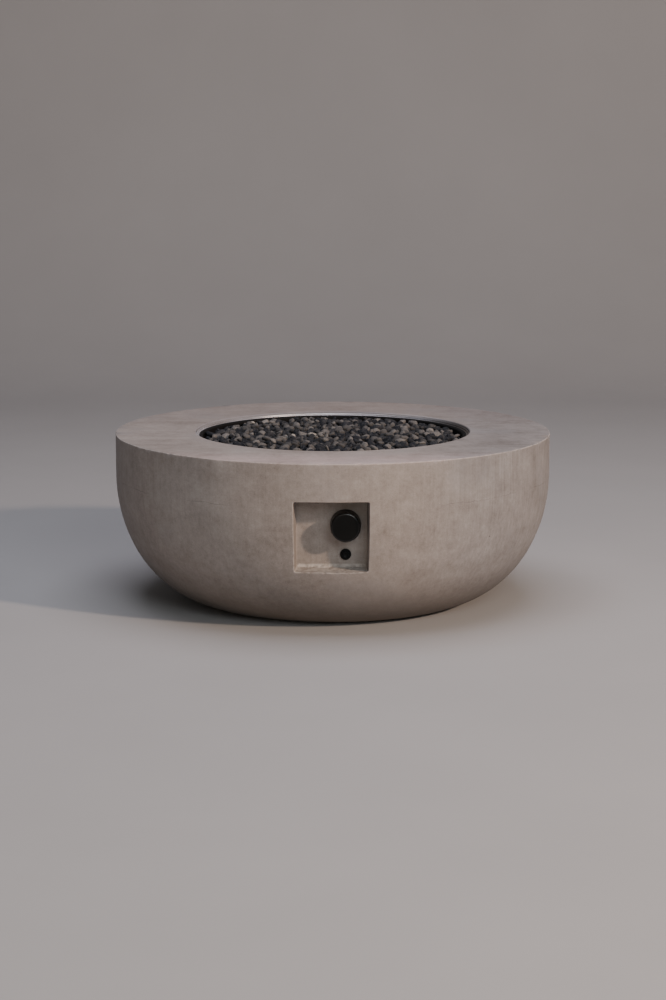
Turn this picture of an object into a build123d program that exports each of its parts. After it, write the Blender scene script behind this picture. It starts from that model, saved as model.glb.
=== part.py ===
from build123d import *
from build123d.topology import SkipClean
import math
import os
import random

# A gas fire bowl in millimetres. It stands on z = 0 with its axis on Z, and its controls face -Y.

# Clearances and the overrun of every cut
running = 0.1
seating = 0.3
overrun = 5.0

# Concrete bowl: an upright band, then one curve that turns under to the foot
rim_radius = 533.5
bowl_height = 414.0
upright_band = 96.0
base_radius = 293.0
turn_share = 0.588
belly_share = 0.503
wall = 26.0
top_slab = 36.0
base_slab = 30.0
arris = 2.0
opening_radius = 336.5
ledge_drop = 10.5
ledge_width = 12.0
service_radius = 140.0
hose_channel_width = 36.0
hose_channel_height = 20.0

# Control pocket in the front wall, drafted so that its core draws out
pocket_width = 174.0
pocket_height = 170.6
pocket_drop = 87.7
pocket_depth = 84.0
pocket_draft = 4.0
pocket_bead = 6.0
pocket_wall = 16.0
panel = 14.0
knob_offset = 32.0
knob_drop = 151.0
button_drop = 222.0

# Burner pan, which hangs by its flange on the ledge
pan_sheet = 1.5
pan_bend = 3.0
pan_depth = 72.5
pan_corner = 12.0
pan_hem_width = 3.2
pan_hem_height = 4.0
pan_hem_round_share = 0.45
drain_radius = 5.0
drain_count = 4
drain_circle_share = 0.8

# Double ring burner, its hub and its threaded nipple
burner_radius = 150.0
inner_ring_radius = 75.0
burner_tube = 8.0
burner_bore = 6.5
cross_tube = 6.0
cross_bore = 4.5
burner_lift = 24.0
port_radius = 1.2
port_count = 24
hub_radius = 21.0
hub_cap = 4.0
nipple_radius = 10.6
nipple_bore = 8.0
nipple_grip = 14.0
lock_nut_flat = 16.0
lock_nut_height = 8.0

# Air mixer, jet and elbow below the pan
mixer_radius = 15.0
mixer_bore = 8.5
mixer_length = 62.0
mixer_foot = 10.0
window_width = 9.0
window_height = 20.0
jet_radius = 6.0
jet_tip = 9.0
jet_bore = 1.0
jet_flange_flat = 8.0
jet_flange = 5.0
elbow_radius = 7.5
elbow_drop = 18.0
elbow_reach = 26.0

# Gas tube and its two nuts
tube_radius = 5.0
tube_bore = 4.0
tube_bend = 36.0
tube_offset = 84.0
tube_nut_flat = 9.0
tube_nut_grip = 9.0

# Gas valve behind the panel
bracket_sheet = 2.0
bracket_width = 72.0
bracket_height = 52.0
bracket_corner = 4.0
bracket_screw_pitch = 58.0
bonnet_plate = 3.0
flange_thickness = 4.0
valve_radius = 14.0
valve_length = 51.0
chamber_radius = 8.0
chamber_depth = 27.0
partition = 4.0
magnet_bore = 7.0
stub_depth = 21.0
inlet_radius = 7.94
inlet_reach = 34.0
inlet_hex_flat = 9.5
inlet_hex_reach = 19.0
inlet_tip = 2.5
outlet_radius = 6.0
outlet_reach = 30.0
passage_radius = 3.0
screw_radius = 2.0
screw_head_radius = 3.4
screw_head_height = 2.6
wall_screw_radius = 2.4
wall_screw_depth = 9.0

# Moving parts of the valve
knob_travel = 4.0
stem_radius = 4.0
stem_flat = 3.0
stem_hole_radius = 8.0
collar_radius = 6.0
collar_thickness = 2.0
spring_length = 8.0
spring_wire = 1.0
tang_width = 9.0
tang_thickness = 3.0
tang_grip = 3.0
plug_length = 16.0
pin_radius = 1.5

# Safety magnet and thermocouple nut
magnet_reach = 5.0
gland_flat = 8.5
gland_length = 8.0
couple_nut_flat = 5.0
couple_nut_length = 10.0

# Knob
knob_radius = 35.4
knob_front_radius = 34.4
knob_depth = 42.0
knob_gap = 10.0
knob_edge = 5.5
knob_wall = 3.0
knob_face = 4.0
hub_boss_radius = 8.5
rib_count = 6
rib_thickness = 2.0
rib_recess = 5.0

# Spark igniter
barrel_radius = 10.5
barrel_wall = 2.2
barrel_length = 56.0
barrel_end = 2.0
barrel_flange = 14.0
barrel_flange_thickness = 3.0
bezel_radius = 12.7
bezel_height = 6.0
bezel_lip = 1.5
button_stand = 4.5
button_inset = 8.0
button_edge = 1.5
button_travel = 3.5
battery_radius = 7.1
battery_length = 50.5
battery_nub_radius = 2.7
battery_nub = 1.3
contact_wire = 0.9
terminal_offset = 6.0
terminal_width = 4.8
terminal_sheet = 0.8
terminal_length = 9.0

# Leads
boot_radius = 3.8
boot_length = 16.0
boot_bite = 8.0
lead_radius = 1.6
capillary_radius = 1.3
capillary_straight = 45.0
bend_share = 0.8

# Pilot group outside the burner ring: electrode, thermocouple, bracket and guard
pilot_gap = 26.0
couple_offset = 14.0
insulator_radius = 3.2
insulator_drop = 18.0
insulator_rise = 30.0
rod_radius = 1.2
rod_rise = 12.0
rod_drop = 10.0
couple_radius = 2.6
couple_drop = 12.0
couple_rise = 36.0
floor_hole_radius = 4.5
pilot_sheet = 1.5
pilot_depth = 20.0
pilot_height = 20.0
pilot_margin = 8.0
pilot_foot = 11.0
pilot_screw_length = 7.0
guard_sheet = 1.2
guard_clear = 4.0
guard_height = 54.0
slot_width = 4.0
slot_height = 26.0
slot_count = 6

# Lava rock: a lower bed round the burner, and the loose top layer on it
bed_drop = 25.0
bed_clear = 1.0
heap_rise = 4.0
heap_crown = 60.0
rock_radius = 15.2
rock_low = 10.0
rock_high = 15.5
rock_sides = 6
rock_kinds = 10
rock_seed = 11
rock_spacing_share = 1.15
rock_foot_share = 0.86
rock_crown_share = 0.6
rock_ragged_share = 0.2
rock_waist_share = 0.42

os.makedirs("parts", exist_ok=True)

CENTRED = (Align.CENTER, Align.CENTER, Align.MIN)

# Places that several pieces share
ledge_z = bowl_height - ledge_drop
ledge_radius = opening_radius - ledge_width
pan_outer = ledge_radius - pan_bend - seating
pan_inner = pan_outer - pan_sheet
pan_floor = ledge_z + pan_sheet - pan_depth
pan_under = pan_floor - pan_sheet
ring_z = pan_floor + burner_lift
mixer_top = pan_under - lock_nut_height - seating
mixer_under = mixer_top - mixer_length
elbow_z = mixer_under - jet_flange - elbow_drop
panel_front = pocket_depth - rim_radius
panel_back = panel_front + panel
knob_z = bowl_height - knob_drop
button_z = bowl_height - button_drop
valve_front = bracket_sheet + bonnet_plate
screw_circle = valve_radius + screw_head_radius + seating
flange_radius = screw_circle + screw_head_radius + seating
valve_back = valve_front + valve_length
stub_z = valve_front + stub_depth
plug_front = valve_front + running + collar_thickness + spring_length
pilot_y = -(burner_radius + burner_tube + pilot_gap)
electrode_x = knob_offset - terminal_offset
couple_x = knob_offset + couple_offset
bed_top = bowl_height - bed_drop
bed_radius = pan_inner - bed_clear

# In these two planes z runs inwards from the back of the panel, and y runs down
valve_plane = Plane(origin=(knob_offset, panel_back, knob_z), x_dir=(1, 0, 0), z_dir=(0, 1, 0))
igniter_plane = Plane(origin=(knob_offset, panel_back, button_z), x_dir=(1, 0, 0), z_dir=(0, 1, 0))


def disc(radius, start, end):
    """Upright cylinder between two heights"""
    return Pos(0, 0, start) * Cylinder(radius, end - start, align=CENTRED)


def ring(radius, bore, start, end):
    """Upright tube between two heights"""
    return disc(radius, start, end) - disc(bore, start - overrun, end + overrun)


def hexagon(flat, start, end):
    """Upright six-sided bar, where flat is half the width across its flats"""
    return Pos(0, 0, start) * extrude(RegularPolygon(flat, 6, major_radius=False), end - start)


def block(width, depth, start, end):
    """Upright bar of rectangular section between two heights"""
    return Pos(0, 0, start) * Box(width, depth, end - start, align=CENTRED)


def spun(*curves):
    """Solid turned about Z from a closed outline in radius and height"""
    return revolve(Plane.XZ * make_face(curves), Axis.Z)


def piped(route, radii, radius, bore=0):
    """Round tube along straight runs joined by tangent arcs"""
    path = FilletPolyline(*route, radius=radii)
    section = Circle(radius)
    if bore:
        section -= Circle(bore)
    return sweep(Plane(origin=path @ 0, z_dir=path % 0) * section, path=path)


def save(name, shape):
    """Write one node, as one solid or a group of separate solids"""
    solids = shape.solids()
    export_step(solids[0] if len(solids) == 1 else Compound(children=solids), f"parts/{name}.step")


def bowl_side(radius, foot_radius, foot, start):
    """Curve that leaves an upright wall at start and comes in level at the foot"""
    knee = start - (start - foot) * turn_share
    belly = foot_radius + (radius - foot_radius) * belly_share
    return Bezier((radius, start), (radius, knee), (belly, foot), (foot_radius, foot))


def bowl_solid():
    """The bowl's outer form as one solid body"""
    band = bowl_height - upright_band
    side = bowl_side(rim_radius, base_radius, 0, band)
    top = Polyline(
        (rim_radius, band), (rim_radius, bowl_height), (0, bowl_height), (0, 0), (base_radius, 0)
    )
    return spun(side, top)


def pocket_block(margin, depth, reach):
    """Drafted block that narrows inwards from reach in front of the rim to depth behind it"""
    slope = math.tan(math.radians(pocket_draft))
    centre = bowl_height - pocket_drop - pocket_height / 2
    ends = []
    for distance in (-reach, depth):
        width = pocket_width + 2 * (margin - slope * distance)
        height = pocket_height + 2 * (margin - slope * distance)
        plane = Plane(origin=(0, distance - rim_radius, centre), x_dir=(1, 0, 0), z_dir=(0, 1, 0))
        ends.append(plane * Rectangle(width, height))
    return loft(ends, ruled=True)


def bowl_shell():
    """Hollow casting with its rim, pan ledge, pocket, base opening and hose channel"""
    band = bowl_height - upright_band
    ceiling = bowl_height - top_slab
    outer = bowl_side(rim_radius, base_radius, 0, band)
    inner = bowl_side(rim_radius - wall, base_radius, base_slab, band)
    rim = Polyline(
        (rim_radius, band), (rim_radius, bowl_height - arris), (rim_radius - arris, bowl_height),
        (opening_radius + arris, bowl_height), (opening_radius, bowl_height - arris),
        (opening_radius, ledge_z), (ledge_radius, ledge_z), (ledge_radius, ceiling),
        (rim_radius - wall, ceiling), (rim_radius - wall, band),
    )
    foot = Polyline(
        (base_radius, base_slab), (service_radius, base_slab), (service_radius, 0), (base_radius, 0)
    )
    shell = spun(outer, rim, inner, foot)
    shell += pocket_block(pocket_wall, pocket_depth + panel, 0) & bowl_solid()
    pocket = pocket_block(0, pocket_depth, overrun)
    sill_edge = pocket.faces().sort_by(Axis.Y)[-1].edges().sort_by(Axis.Z)[0]
    shell -= fillet(sill_edge, pocket_bead)
    shell -= valve_plane * disc(stem_hole_radius, -panel - overrun, overrun)
    shell -= igniter_plane * disc(barrel_radius + running, -panel - overrun, overrun)
    for side in (-1, 1):
        hole = disc(wall_screw_radius + running, -wall_screw_depth - seating, overrun)
        shell -= valve_plane * Pos(side * bracket_screw_pitch / 2, 0, 0) * hole
    channel = Pos(0, rim_radius / 2, -overrun) * Box(
        hose_channel_width, rim_radius, hose_channel_height + overrun, align=CENTRED
    )
    return shell - channel


def burner_pan():
    """Pressed pan: flange on the ledge with an upright hem, wall, rounded floor with its holes"""
    flange = opening_radius - seating
    outline = Polyline(
        (0, pan_under), (pan_outer, pan_under), (pan_outer, ledge_z), (flange, ledge_z),
        (flange, ledge_z + pan_sheet), (pan_inner, ledge_z + pan_sheet),
        (pan_inner, pan_floor), (0, pan_floor), close=True,
    )
    pan = spun(outline)
    bends = {
        (pan_outer, pan_under): pan_corner + pan_sheet,
        (pan_inner, pan_floor): pan_corner,
        (pan_outer, ledge_z): pan_bend,
        (pan_inner, ledge_z + pan_sheet): pan_bend + pan_sheet,
    }
    for (radius, height), bend in bends.items():
        corner = [
            edge for edge in pan.edges().filter_by(GeomType.CIRCLE)
            if abs(edge.radius - radius) < running and abs(edge.center().Z - height) < running
        ]
        pan = fillet(corner, bend)
    hem = ring(flange, flange - pan_hem_width, ledge_z, ledge_z + pan_sheet + pan_hem_height)
    pan += fillet(hem.edges().group_by(Axis.Z)[-1], pan_hem_width * pan_hem_round_share)
    pan -= disc(nipple_radius + seating, pan_under - overrun, pan_floor + overrun)
    drain = disc(drain_radius, pan_under - overrun, pan_floor + overrun)
    pan -= PolarLocations(pan_inner * drain_circle_share, drain_count) * drain
    for place in (electrode_x, couple_x):
        pan -= Pos(place, pilot_y, 0) * disc(floor_hole_radius, pan_under - overrun, pan_floor + overrun)
    for place in pilot_screw_places():
        pan -= place * disc(screw_radius + running, pan_under - overrun, pan_floor + overrun)
    return pan


def burner_tubes(radius, bar_radius):
    """Two rings of four quarter bends each on a straight cross bar, as solid rods"""
    rods = Rot(0, 90, 0) * disc(bar_radius, -burner_radius, burner_radius)
    for centre in (burner_radius, inner_ring_radius):
        bend = revolve(Plane.XZ * Pos(centre, 0) * Circle(radius), Axis.Z, 90)
        for turn in (-45, 45, 135, 225):
            rods += Rot(0, 0, turn) * bend
    return Pos(0, 0, ring_z) * rods


def burner_ring():
    """Two hollow rings on a hollow cross bar, a hub and a nipple, with flame ports along the top"""
    nipple_end = mixer_top - nipple_grip
    port = disc(port_radius, ring_z, ring_z + burner_tube + overrun)
    with SkipClean():
        burner = burner_tubes(burner_tube, cross_tube)
        burner += disc(hub_radius, pan_floor, ring_z + burner_tube + hub_cap)
        burner += disc(nipple_radius, nipple_end, pan_floor)
        burner -= burner_tubes(burner_bore, cross_bore)
        burner -= disc(nipple_bore, nipple_end - overrun, ring_z)
        for radius in (burner_radius, inner_ring_radius):
            burner -= PolarLocations(radius, port_count, start_angle=360 / port_count / 2) * port
    return burner


def burner_lock_nut():
    """Hexagon nut on the nipple, tight under the pan"""
    nut = hexagon(lock_nut_flat, pan_under - lock_nut_height, pan_under)
    return nut - disc(nipple_radius + running, pan_under - lock_nut_height - overrun, pan_under + overrun)


def air_mixer():
    """Mixing tube: a socket on the nipple, air windows in its wall, a bored foot for the jet"""
    socket = nipple_grip + seating
    mixer = disc(mixer_radius, mixer_under, mixer_top)
    mixer -= disc(nipple_radius + running, mixer_top - socket, mixer_top + overrun)
    mixer -= disc(mixer_bore, mixer_under + mixer_foot, mixer_top)
    mixer -= disc(jet_radius + running, mixer_under - overrun, mixer_top - socket)
    window = block(window_width, 2 * mixer_radius + overrun, 0, window_height)
    for turn in (0, 90):
        mixer -= Pos(0, 0, mixer_under + mixer_foot + seating) * Rot(0, 0, turn) * window
    return mixer


def gas_orifice():
    """Brass jet screwed up into the mixer's foot"""
    jet = hexagon(jet_flange_flat, mixer_under - jet_flange, mixer_under)
    jet += disc(jet_radius, mixer_under, mixer_under + mixer_foot)
    tip = Cone(jet_radius, 2 * jet_bore, jet_tip, align=CENTRED)
    jet += Pos(0, 0, mixer_under + mixer_foot) * tip
    jet -= disc(passage_radius, mixer_under - jet_flange - overrun, mixer_under + mixer_foot)
    return jet - disc(jet_bore, mixer_under, mixer_under + mixer_foot + jet_tip + overrun)


def elbow_fitting():
    """Brass elbow from the tube nut up to the jet"""
    upright = disc(elbow_radius, 0, elbow_drop)
    stub = Rot(0, -90, 0) * disc(outlet_radius, 0, elbow_reach)
    elbow = upright + stub + Sphere(elbow_radius)
    elbow -= disc(passage_radius, 0, elbow_drop + overrun)
    elbow -= Rot(0, -90, 0) * disc(passage_radius, 0, elbow_reach + overrun)
    return Pos(0, 0, elbow_z) * (elbow - Sphere(passage_radius))


def stub_axis(side):
    """Place and direction of a valve stub on the side given by its sign, seen in the valve's plane"""
    return Pos(0, 0, stub_z) * Rot(0, 90 * side, 0)


def valve_body():
    """Brass body: flange, plug chamber, magnet chamber, and a stub each side"""
    body = disc(valve_radius, valve_front, valve_back)
    body += disc(flange_radius, valve_front, valve_front + flange_thickness)
    inlet = disc(inlet_radius, 0, inlet_reach)
    inlet = chamfer(inlet.edges().filter_by(GeomType.CIRCLE).sort_by(Axis.Z)[-1], inlet_tip)
    body += stub_axis(1) * (inlet + hexagon(inlet_hex_flat, 0, inlet_hex_reach))
    body += stub_axis(-1) * disc(outlet_radius, 0, outlet_reach)
    body -= disc(chamber_radius, valve_front - overrun, valve_front + chamber_depth)
    body -= disc(magnet_bore, valve_front + chamber_depth + partition, valve_back + overrun)
    body -= disc(pin_radius + seating, valve_front, valve_back)
    body -= stub_axis(1) * disc(passage_radius, 0, inlet_reach + overrun)
    body -= stub_axis(-1) * disc(passage_radius, 0, outlet_reach + overrun)
    hole = disc(screw_radius + running, valve_front - overrun, valve_front + flange_thickness + overrun)
    for place in valve_screw_places():
        body -= place * hole
    return valve_plane * body


def valve_screw_places():
    """Two screws set across the corners, clear of both stubs"""
    return [Rot(0, 0, turn) * Pos(screw_circle, 0, 0) for turn in (-45, 135)]


def valve_bonnet():
    """Front plate that keeps the stem's collar in the chamber"""
    bonnet = ring(flange_radius, stem_radius + running, bracket_sheet, valve_front)
    for place in valve_screw_places():
        bonnet -= place * disc(screw_radius + running, 0, valve_front + overrun)
    return valve_plane * bonnet


def valve_screws():
    """Screws from behind the flange into the bracket"""
    head = valve_front + flange_thickness
    screw = disc(screw_radius, 0, head) + disc(screw_head_radius, head, head + screw_head_height)
    return valve_plane * Compound(children=[place * screw for place in valve_screw_places()])


def valve_bracket():
    """Steel plate flat against the back of the panel"""
    plate = extrude(RectangleRounded(bracket_width, bracket_height, bracket_corner), bracket_sheet)
    plate -= disc(stem_hole_radius, -overrun, bracket_sheet + overrun)
    hole = disc(wall_screw_radius + running, -overrun, bracket_sheet + overrun)
    for side in (-1, 1):
        plate -= Pos(side * bracket_screw_pitch / 2, 0, 0) * hole
    for place in valve_screw_places():
        plate -= place * disc(screw_radius + running, -overrun, bracket_sheet + overrun)
    return valve_plane * plate


def bracket_screws():
    """Screws from behind the bracket into the concrete"""
    screw = disc(wall_screw_radius, -wall_screw_depth, bracket_sheet)
    screw += disc(screw_head_radius, bracket_sheet, bracket_sheet + screw_head_height)
    pair = [Pos(side * bracket_screw_pitch / 2, 0, 0) * screw for side in (-1, 1)]
    return valve_plane * Compound(children=pair)


def valve_plug():
    """Turning plug: a slot for the stem's tang, a bore for the push pin and a cross passage, shown shut"""
    plug = disc(chamber_radius - running, plug_front, plug_front + plug_length)
    depth = tang_grip + knob_travel + seating
    slot = (tang_width + 2 * seating, tang_thickness + 2 * seating)
    plug -= block(*slot, plug_front - overrun, plug_front + depth)
    plug -= disc(pin_radius + seating, plug_front, plug_front + plug_length + overrun)
    passage = Rot(90, 0, 0) * disc(passage_radius, -chamber_radius, chamber_radius)
    return valve_plane * (plug - Pos(0, 0, stub_z) * passage)


def stem_front():
    """Depth of the stem's outer end, inside the knob's boss"""
    return -panel - knob_gap - knob_depth + knob_face + seating


def valve_stem():
    """Stem with a flat for the knob, a collar under the bonnet and a tang in the plug"""
    collar = valve_front + running
    stem = disc(stem_radius, stem_front(), collar)
    flat = Box(2 * stem_radius, stem_radius, knob_depth, align=(Align.CENTER, Align.MIN, Align.MIN))
    stem -= Pos(0, stem_flat, stem_front()) * flat
    stem += disc(collar_radius, collar, collar + collar_thickness)
    return valve_plane * (stem + block(tang_width, tang_thickness, collar, plug_front + tang_grip))


def push_pin():
    """Pin from the stem's tang through the plug to the safety magnet"""
    end = valve_back - magnet_reach - knob_travel - seating
    return valve_plane * disc(pin_radius, plug_front + tang_grip, end)


def stem_spring():
    """Return spring between the collar and the plug, as the sleeve that it fills"""
    inner = tang_width / 2 + seating
    front = plug_front - spring_length
    return valve_plane * ring(inner + spring_wire, inner, front, plug_front)


def magnet_unit():
    """Safety magnet in the back of the valve, with its gland"""
    magnet = disc(magnet_bore - running, valve_back - magnet_reach, valve_back)
    return valve_plane * (magnet + hexagon(gland_flat, valve_back, valve_back + gland_length))


def thermocouple_nut():
    """Nut that holds the thermocouple's lead in the magnet"""
    start = valve_back + gland_length
    end = start + couple_nut_length
    nut = hexagon(couple_nut_flat, start, end)
    return valve_plane * (nut - disc(capillary_radius + running, start - overrun, end + overrun))


def control_knob():
    """Hollow round knob with a rounded front edge, a boss with a flat, and ribs"""
    front = -panel - knob_gap - knob_depth
    back = front + knob_depth
    outline = Polyline((0, front), (knob_front_radius, front), (knob_radius, back), (0, back), close=True)
    knob = spun(outline)
    knob = fillet(knob.edges().filter_by(GeomType.CIRCLE).sort_by(Axis.Z)[0], knob_edge)
    hollow = knob_front_radius - knob_wall
    knob -= disc(hollow, front + knob_face, back + overrun)
    knob += disc(hub_boss_radius, front + knob_face, back)
    rib_depth = knob_depth - knob_face - rib_recess
    outward = (Align.MIN, Align.CENTER, Align.MIN)
    rib = Pos(hub_boss_radius / 2, 0, 0) * Box(hollow, rib_thickness, rib_depth, align=outward)
    ribs = PolarLocations(0, rib_count) * (Pos(0, 0, front + knob_face) * rib)
    knob += Part() + ribs & disc(hollow + running, front, back)
    bore = disc(stem_radius + running, stem_front() - seating, back + overrun)
    across = (Align.CENTER, Align.MIN, Align.CENTER)
    flat = Box(2 * stem_radius + overrun, stem_radius, 2 * knob_depth, align=across)
    bore -= Pos(0, stem_flat + running, front) * flat
    return valve_plane * (knob - bore)


def igniter_barrel():
    """Barrel of the spark module, through the panel, with a flange behind it and a closed end"""
    barrel = disc(barrel_radius, -panel - bezel_height + bezel_lip, barrel_length)
    barrel += disc(barrel_flange, 0, barrel_flange_thickness)
    barrel -= disc(barrel_radius - barrel_wall, -panel - overrun, barrel_length - barrel_end)
    return igniter_plane * barrel


def igniter_bezel():
    """Ring screwed on the barrel's front end, with a lip round the button"""
    front = -panel - bezel_height
    bezel = disc(bezel_radius, front, -panel)
    bezel = fillet(bezel.edges().filter_by(GeomType.CIRCLE).sort_by(Axis.Z)[0], bezel_lip / 2)
    bezel -= disc(barrel_radius + running, front + bezel_lip, overrun)
    return igniter_plane * (bezel - disc(barrel_radius - barrel_wall, front - overrun, overrun))


def button_back():
    """Depth of the button's inner end"""
    return -panel - bezel_height + button_inset + button_travel


def igniter_button():
    """Round push button that slides in the barrel"""
    front = -panel - bezel_height - button_stand
    button = disc(barrel_radius - barrel_wall - running, front, button_back())
    return igniter_plane * fillet(button.edges().filter_by(GeomType.CIRCLE).sort_by(Axis.Z)[0], button_edge)


def igniter_battery():
    """Single round cell against the barrel's closed end"""
    back = barrel_length - barrel_end
    shoulder = back - battery_length + battery_nub
    cell = disc(battery_radius, shoulder, back)
    return igniter_plane * (cell + disc(battery_nub_radius, shoulder - battery_nub, shoulder))


def button_spring():
    """Contact spring between the button and the cell, as the sleeve that it fills"""
    shoulder = barrel_length - barrel_end - battery_length + battery_nub
    inner = battery_nub_radius + seating
    return igniter_plane * ring(inner + contact_wire, inner, button_back(), shoulder)


def igniter_terminals():
    """Two blades on the back of the barrel"""
    blade = block(terminal_sheet, terminal_width, barrel_length, barrel_length + terminal_length)
    pair = [Pos(side * terminal_offset, 0, 0) * blade for side in (-1, 1)]
    return igniter_plane * Compound(children=pair)


def boot_ends():
    """Where the lead leaves its two boots: behind the igniter, and under the electrode"""
    terminal_end = panel_back + barrel_length + terminal_length - boot_bite + boot_length
    electrode_end = pan_under - insulator_drop - boot_length
    return terminal_end, electrode_end


def lead_boots():
    """Soft boots over the terminal and over the electrode's tail"""
    terminal_end, electrode_end = boot_ends()
    start = barrel_length + terminal_length - boot_bite
    boot = disc(boot_radius, start, start + boot_length)
    slot = (terminal_sheet + 2 * running, terminal_width + 2 * running)
    boot -= block(*slot, start - overrun, start + boot_bite + seating)
    boot = igniter_plane * Pos(-terminal_offset, 0, 0) * boot
    top = electrode_end + boot_length
    tail = disc(boot_radius, electrode_end, top)
    tail -= disc(rod_radius + running, top - rod_drop - seating, top + overrun)
    return Compound(children=[boot, Pos(electrode_x, pilot_y, 0) * tail])


def ignition_lead():
    """Wire from the igniter's boot back under the pan and up to the electrode's boot"""
    terminal_end, electrode_end = boot_ends()
    route = [
        (electrode_x, terminal_end, button_z), (electrode_x, pilot_y, button_z),
        (electrode_x, pilot_y, electrode_end),
    ]
    bend = bend_share * min(pilot_y - terminal_end, electrode_end - button_z)
    return piped(route, bend, lead_radius)


def thermocouple_lead():
    """Copper capillary from the magnet's nut back under the pan and up to the probe"""
    start = panel_back + valve_back + gland_length
    swing = start + couple_nut_length + capillary_straight
    top = pan_under - couple_drop
    route = [
        (knob_offset, start, knob_z), (knob_offset, swing, knob_z),
        (couple_x, pilot_y, knob_z), (couple_x, pilot_y, top),
    ]
    bend = bend_share * min(pilot_y - swing, top - knob_z)
    return piped(route, [bend, bend], capillary_radius)


def thermocouple_tip():
    """Probe with a rounded end that stands in the flame"""
    tip = disc(couple_radius, pan_under - couple_drop, pan_floor + couple_rise)
    tip = fillet(tip.edges().filter_by(GeomType.CIRCLE).sort_by(Axis.Z)[-1], couple_radius - running)
    return Pos(couple_x, pilot_y, 0) * tip


def electrode_insulator():
    """Ceramic sleeve through the pan's floor"""
    low = pan_under - insulator_drop
    sleeve = ring(insulator_radius, rod_radius + running, low, pan_floor + insulator_rise)
    return Pos(electrode_x, pilot_y, 0) * sleeve


def electrode_rod():
    """Steel rod through the sleeve, bare at both ends"""
    low = pan_under - insulator_drop - rod_drop
    return Pos(electrode_x, pilot_y, 0) * disc(rod_radius, low, pan_floor + insulator_rise + rod_rise)


def pilot_span():
    """Centre and width of the bracket's bridge in x"""
    low = electrode_x - insulator_radius - pilot_margin
    high = couple_x + couple_radius + pilot_margin
    return (low + high) / 2, high - low


def pilot_screw_places():
    """Centres of the two screws in the bracket's feet"""
    centre, width = pilot_span()
    reach = (width + pilot_foot) / 2
    return [Pos(centre + side * reach, pilot_y, 0) for side in (-1, 1)]


def pilot_bracket():
    """Folded bridge with two feet, which holds the electrode and the probe upright"""
    centre, width = pilot_span()
    top = pan_floor + pilot_height
    inside = (width - 2 * pilot_sheet, pilot_depth + overrun)
    bridge = block(width, pilot_depth, pan_floor, top)
    bridge -= block(*inside, pan_floor - overrun, top - pilot_sheet)
    bracket = Pos(centre, pilot_y, 0) * bridge
    for place in pilot_screw_places():
        bracket += place * block(pilot_foot, pilot_depth, pan_floor, pan_floor + pilot_sheet)
    for place in pilot_screw_places():
        bracket -= place * disc(screw_radius + running, pan_floor - overrun, pan_floor + overrun)
    for place, radius in ((electrode_x, insulator_radius), (couple_x, couple_radius)):
        bracket -= Pos(place, pilot_y, 0) * disc(radius + running, pan_floor, top + overrun)
    return bracket


def pilot_screws():
    """Screws through the bracket's feet and the pan's floor"""
    seat = pan_floor + pilot_sheet
    screw = disc(screw_radius, seat - pilot_screw_length, seat)
    screw += disc(screw_head_radius, seat, seat + screw_head_height)
    return Compound(children=[place * screw for place in pilot_screw_places()])


def guard_box(margin, top):
    """Upright block round the pilot group"""
    centre, width = pilot_span()
    reach = width + 2 * (pilot_foot + guard_clear + guard_sheet + margin)
    depth = pilot_depth + 2 * (guard_clear + guard_sheet + margin)
    return Pos(centre, pilot_y, 0) * block(reach, depth, pan_floor, top)


def pilot_guard():
    """Slotted cover that stands on the pan's floor and keeps rock off the pilot group"""
    top = pan_floor + guard_height
    guard = guard_box(0, top) - guard_box(-guard_sheet, top - guard_sheet)
    centre, width = pilot_span()
    slot = block(slot_width, pilot_depth + 4 * guard_clear, 0, slot_height)
    middle = pan_floor + (guard_height - slot_height) / 2
    pitch = (width + 2 * pilot_foot) / slot_count
    for place in GridLocations(pitch, pitch, slot_count, 1):
        guard -= Pos(centre, pilot_y, middle) * place * slot
    return guard


def heap_height(reach):
    """Height of the lower layers at a distance from the middle: a flat crown, then an even fall"""
    return bed_top + heap_rise * min(1, (bed_radius - reach) / (bed_radius - heap_crown))


def rock_bed():
    """Lower layers of rock as one body, heaped in the middle, cut round the burner and the guard"""
    outline = Polyline(
        (0, pan_floor), (bed_radius, pan_floor), (bed_radius, bed_top),
        (heap_crown, bed_top + heap_rise), (0, bed_top + heap_rise), close=True,
    )
    bed = spun(outline)
    bed = fillet(bed.edges().filter_by(GeomType.CIRCLE).sort_by(Axis.Z)[0], pan_corner)
    tunnel = burner_tube + bed_clear
    for centre in (burner_radius, inner_ring_radius):
        bed -= ring(centre + tunnel, centre - tunnel, pan_floor, ring_z + tunnel) & bed
    bed -= Pos(0, 0, pan_floor - overrun) * Box(
        2 * burner_radius, 2 * tunnel, burner_lift + tunnel + overrun, align=CENTRED
    )
    bed -= disc(hub_radius + bed_clear, pan_floor - overrun, ring_z + burner_tube + hub_cap + bed_clear)
    return bed - guard_box(bed_clear, pan_floor + guard_height + bed_clear)


def lump(height, draw):
    """One rock: a flat foot, a wider waist and a smaller crown, joined by flat triangles"""
    rings = []
    waist = height * rock_waist_share
    for reach_share, level in ((rock_foot_share, 0), (1, waist), (rock_crown_share, height)):
        points = []
        for corner in range(rock_sides):
            angle = 2 * math.pi * (corner + rock_ragged_share * draw.uniform(-1, 1)) / rock_sides
            reach = rock_radius * reach_share * (1 - rock_ragged_share * draw.random())
            points.append((reach * math.cos(angle), reach * math.sin(angle), level))
        rings.append(points)
    faces = [Face(Wire.make_polygon(rings[0])), Face(Wire.make_polygon(rings[-1]))]
    for low, high in zip(rings, rings[1:]):
        for corner in range(rock_sides):
            after = (corner + 1) % rock_sides
            faces.append(Face(Wire.make_polygon([low[corner], low[after], high[corner]])))
            faces.append(Face(Wire.make_polygon([low[after], high[after], high[corner]])))
    return Solid(Shell(faces))


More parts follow.
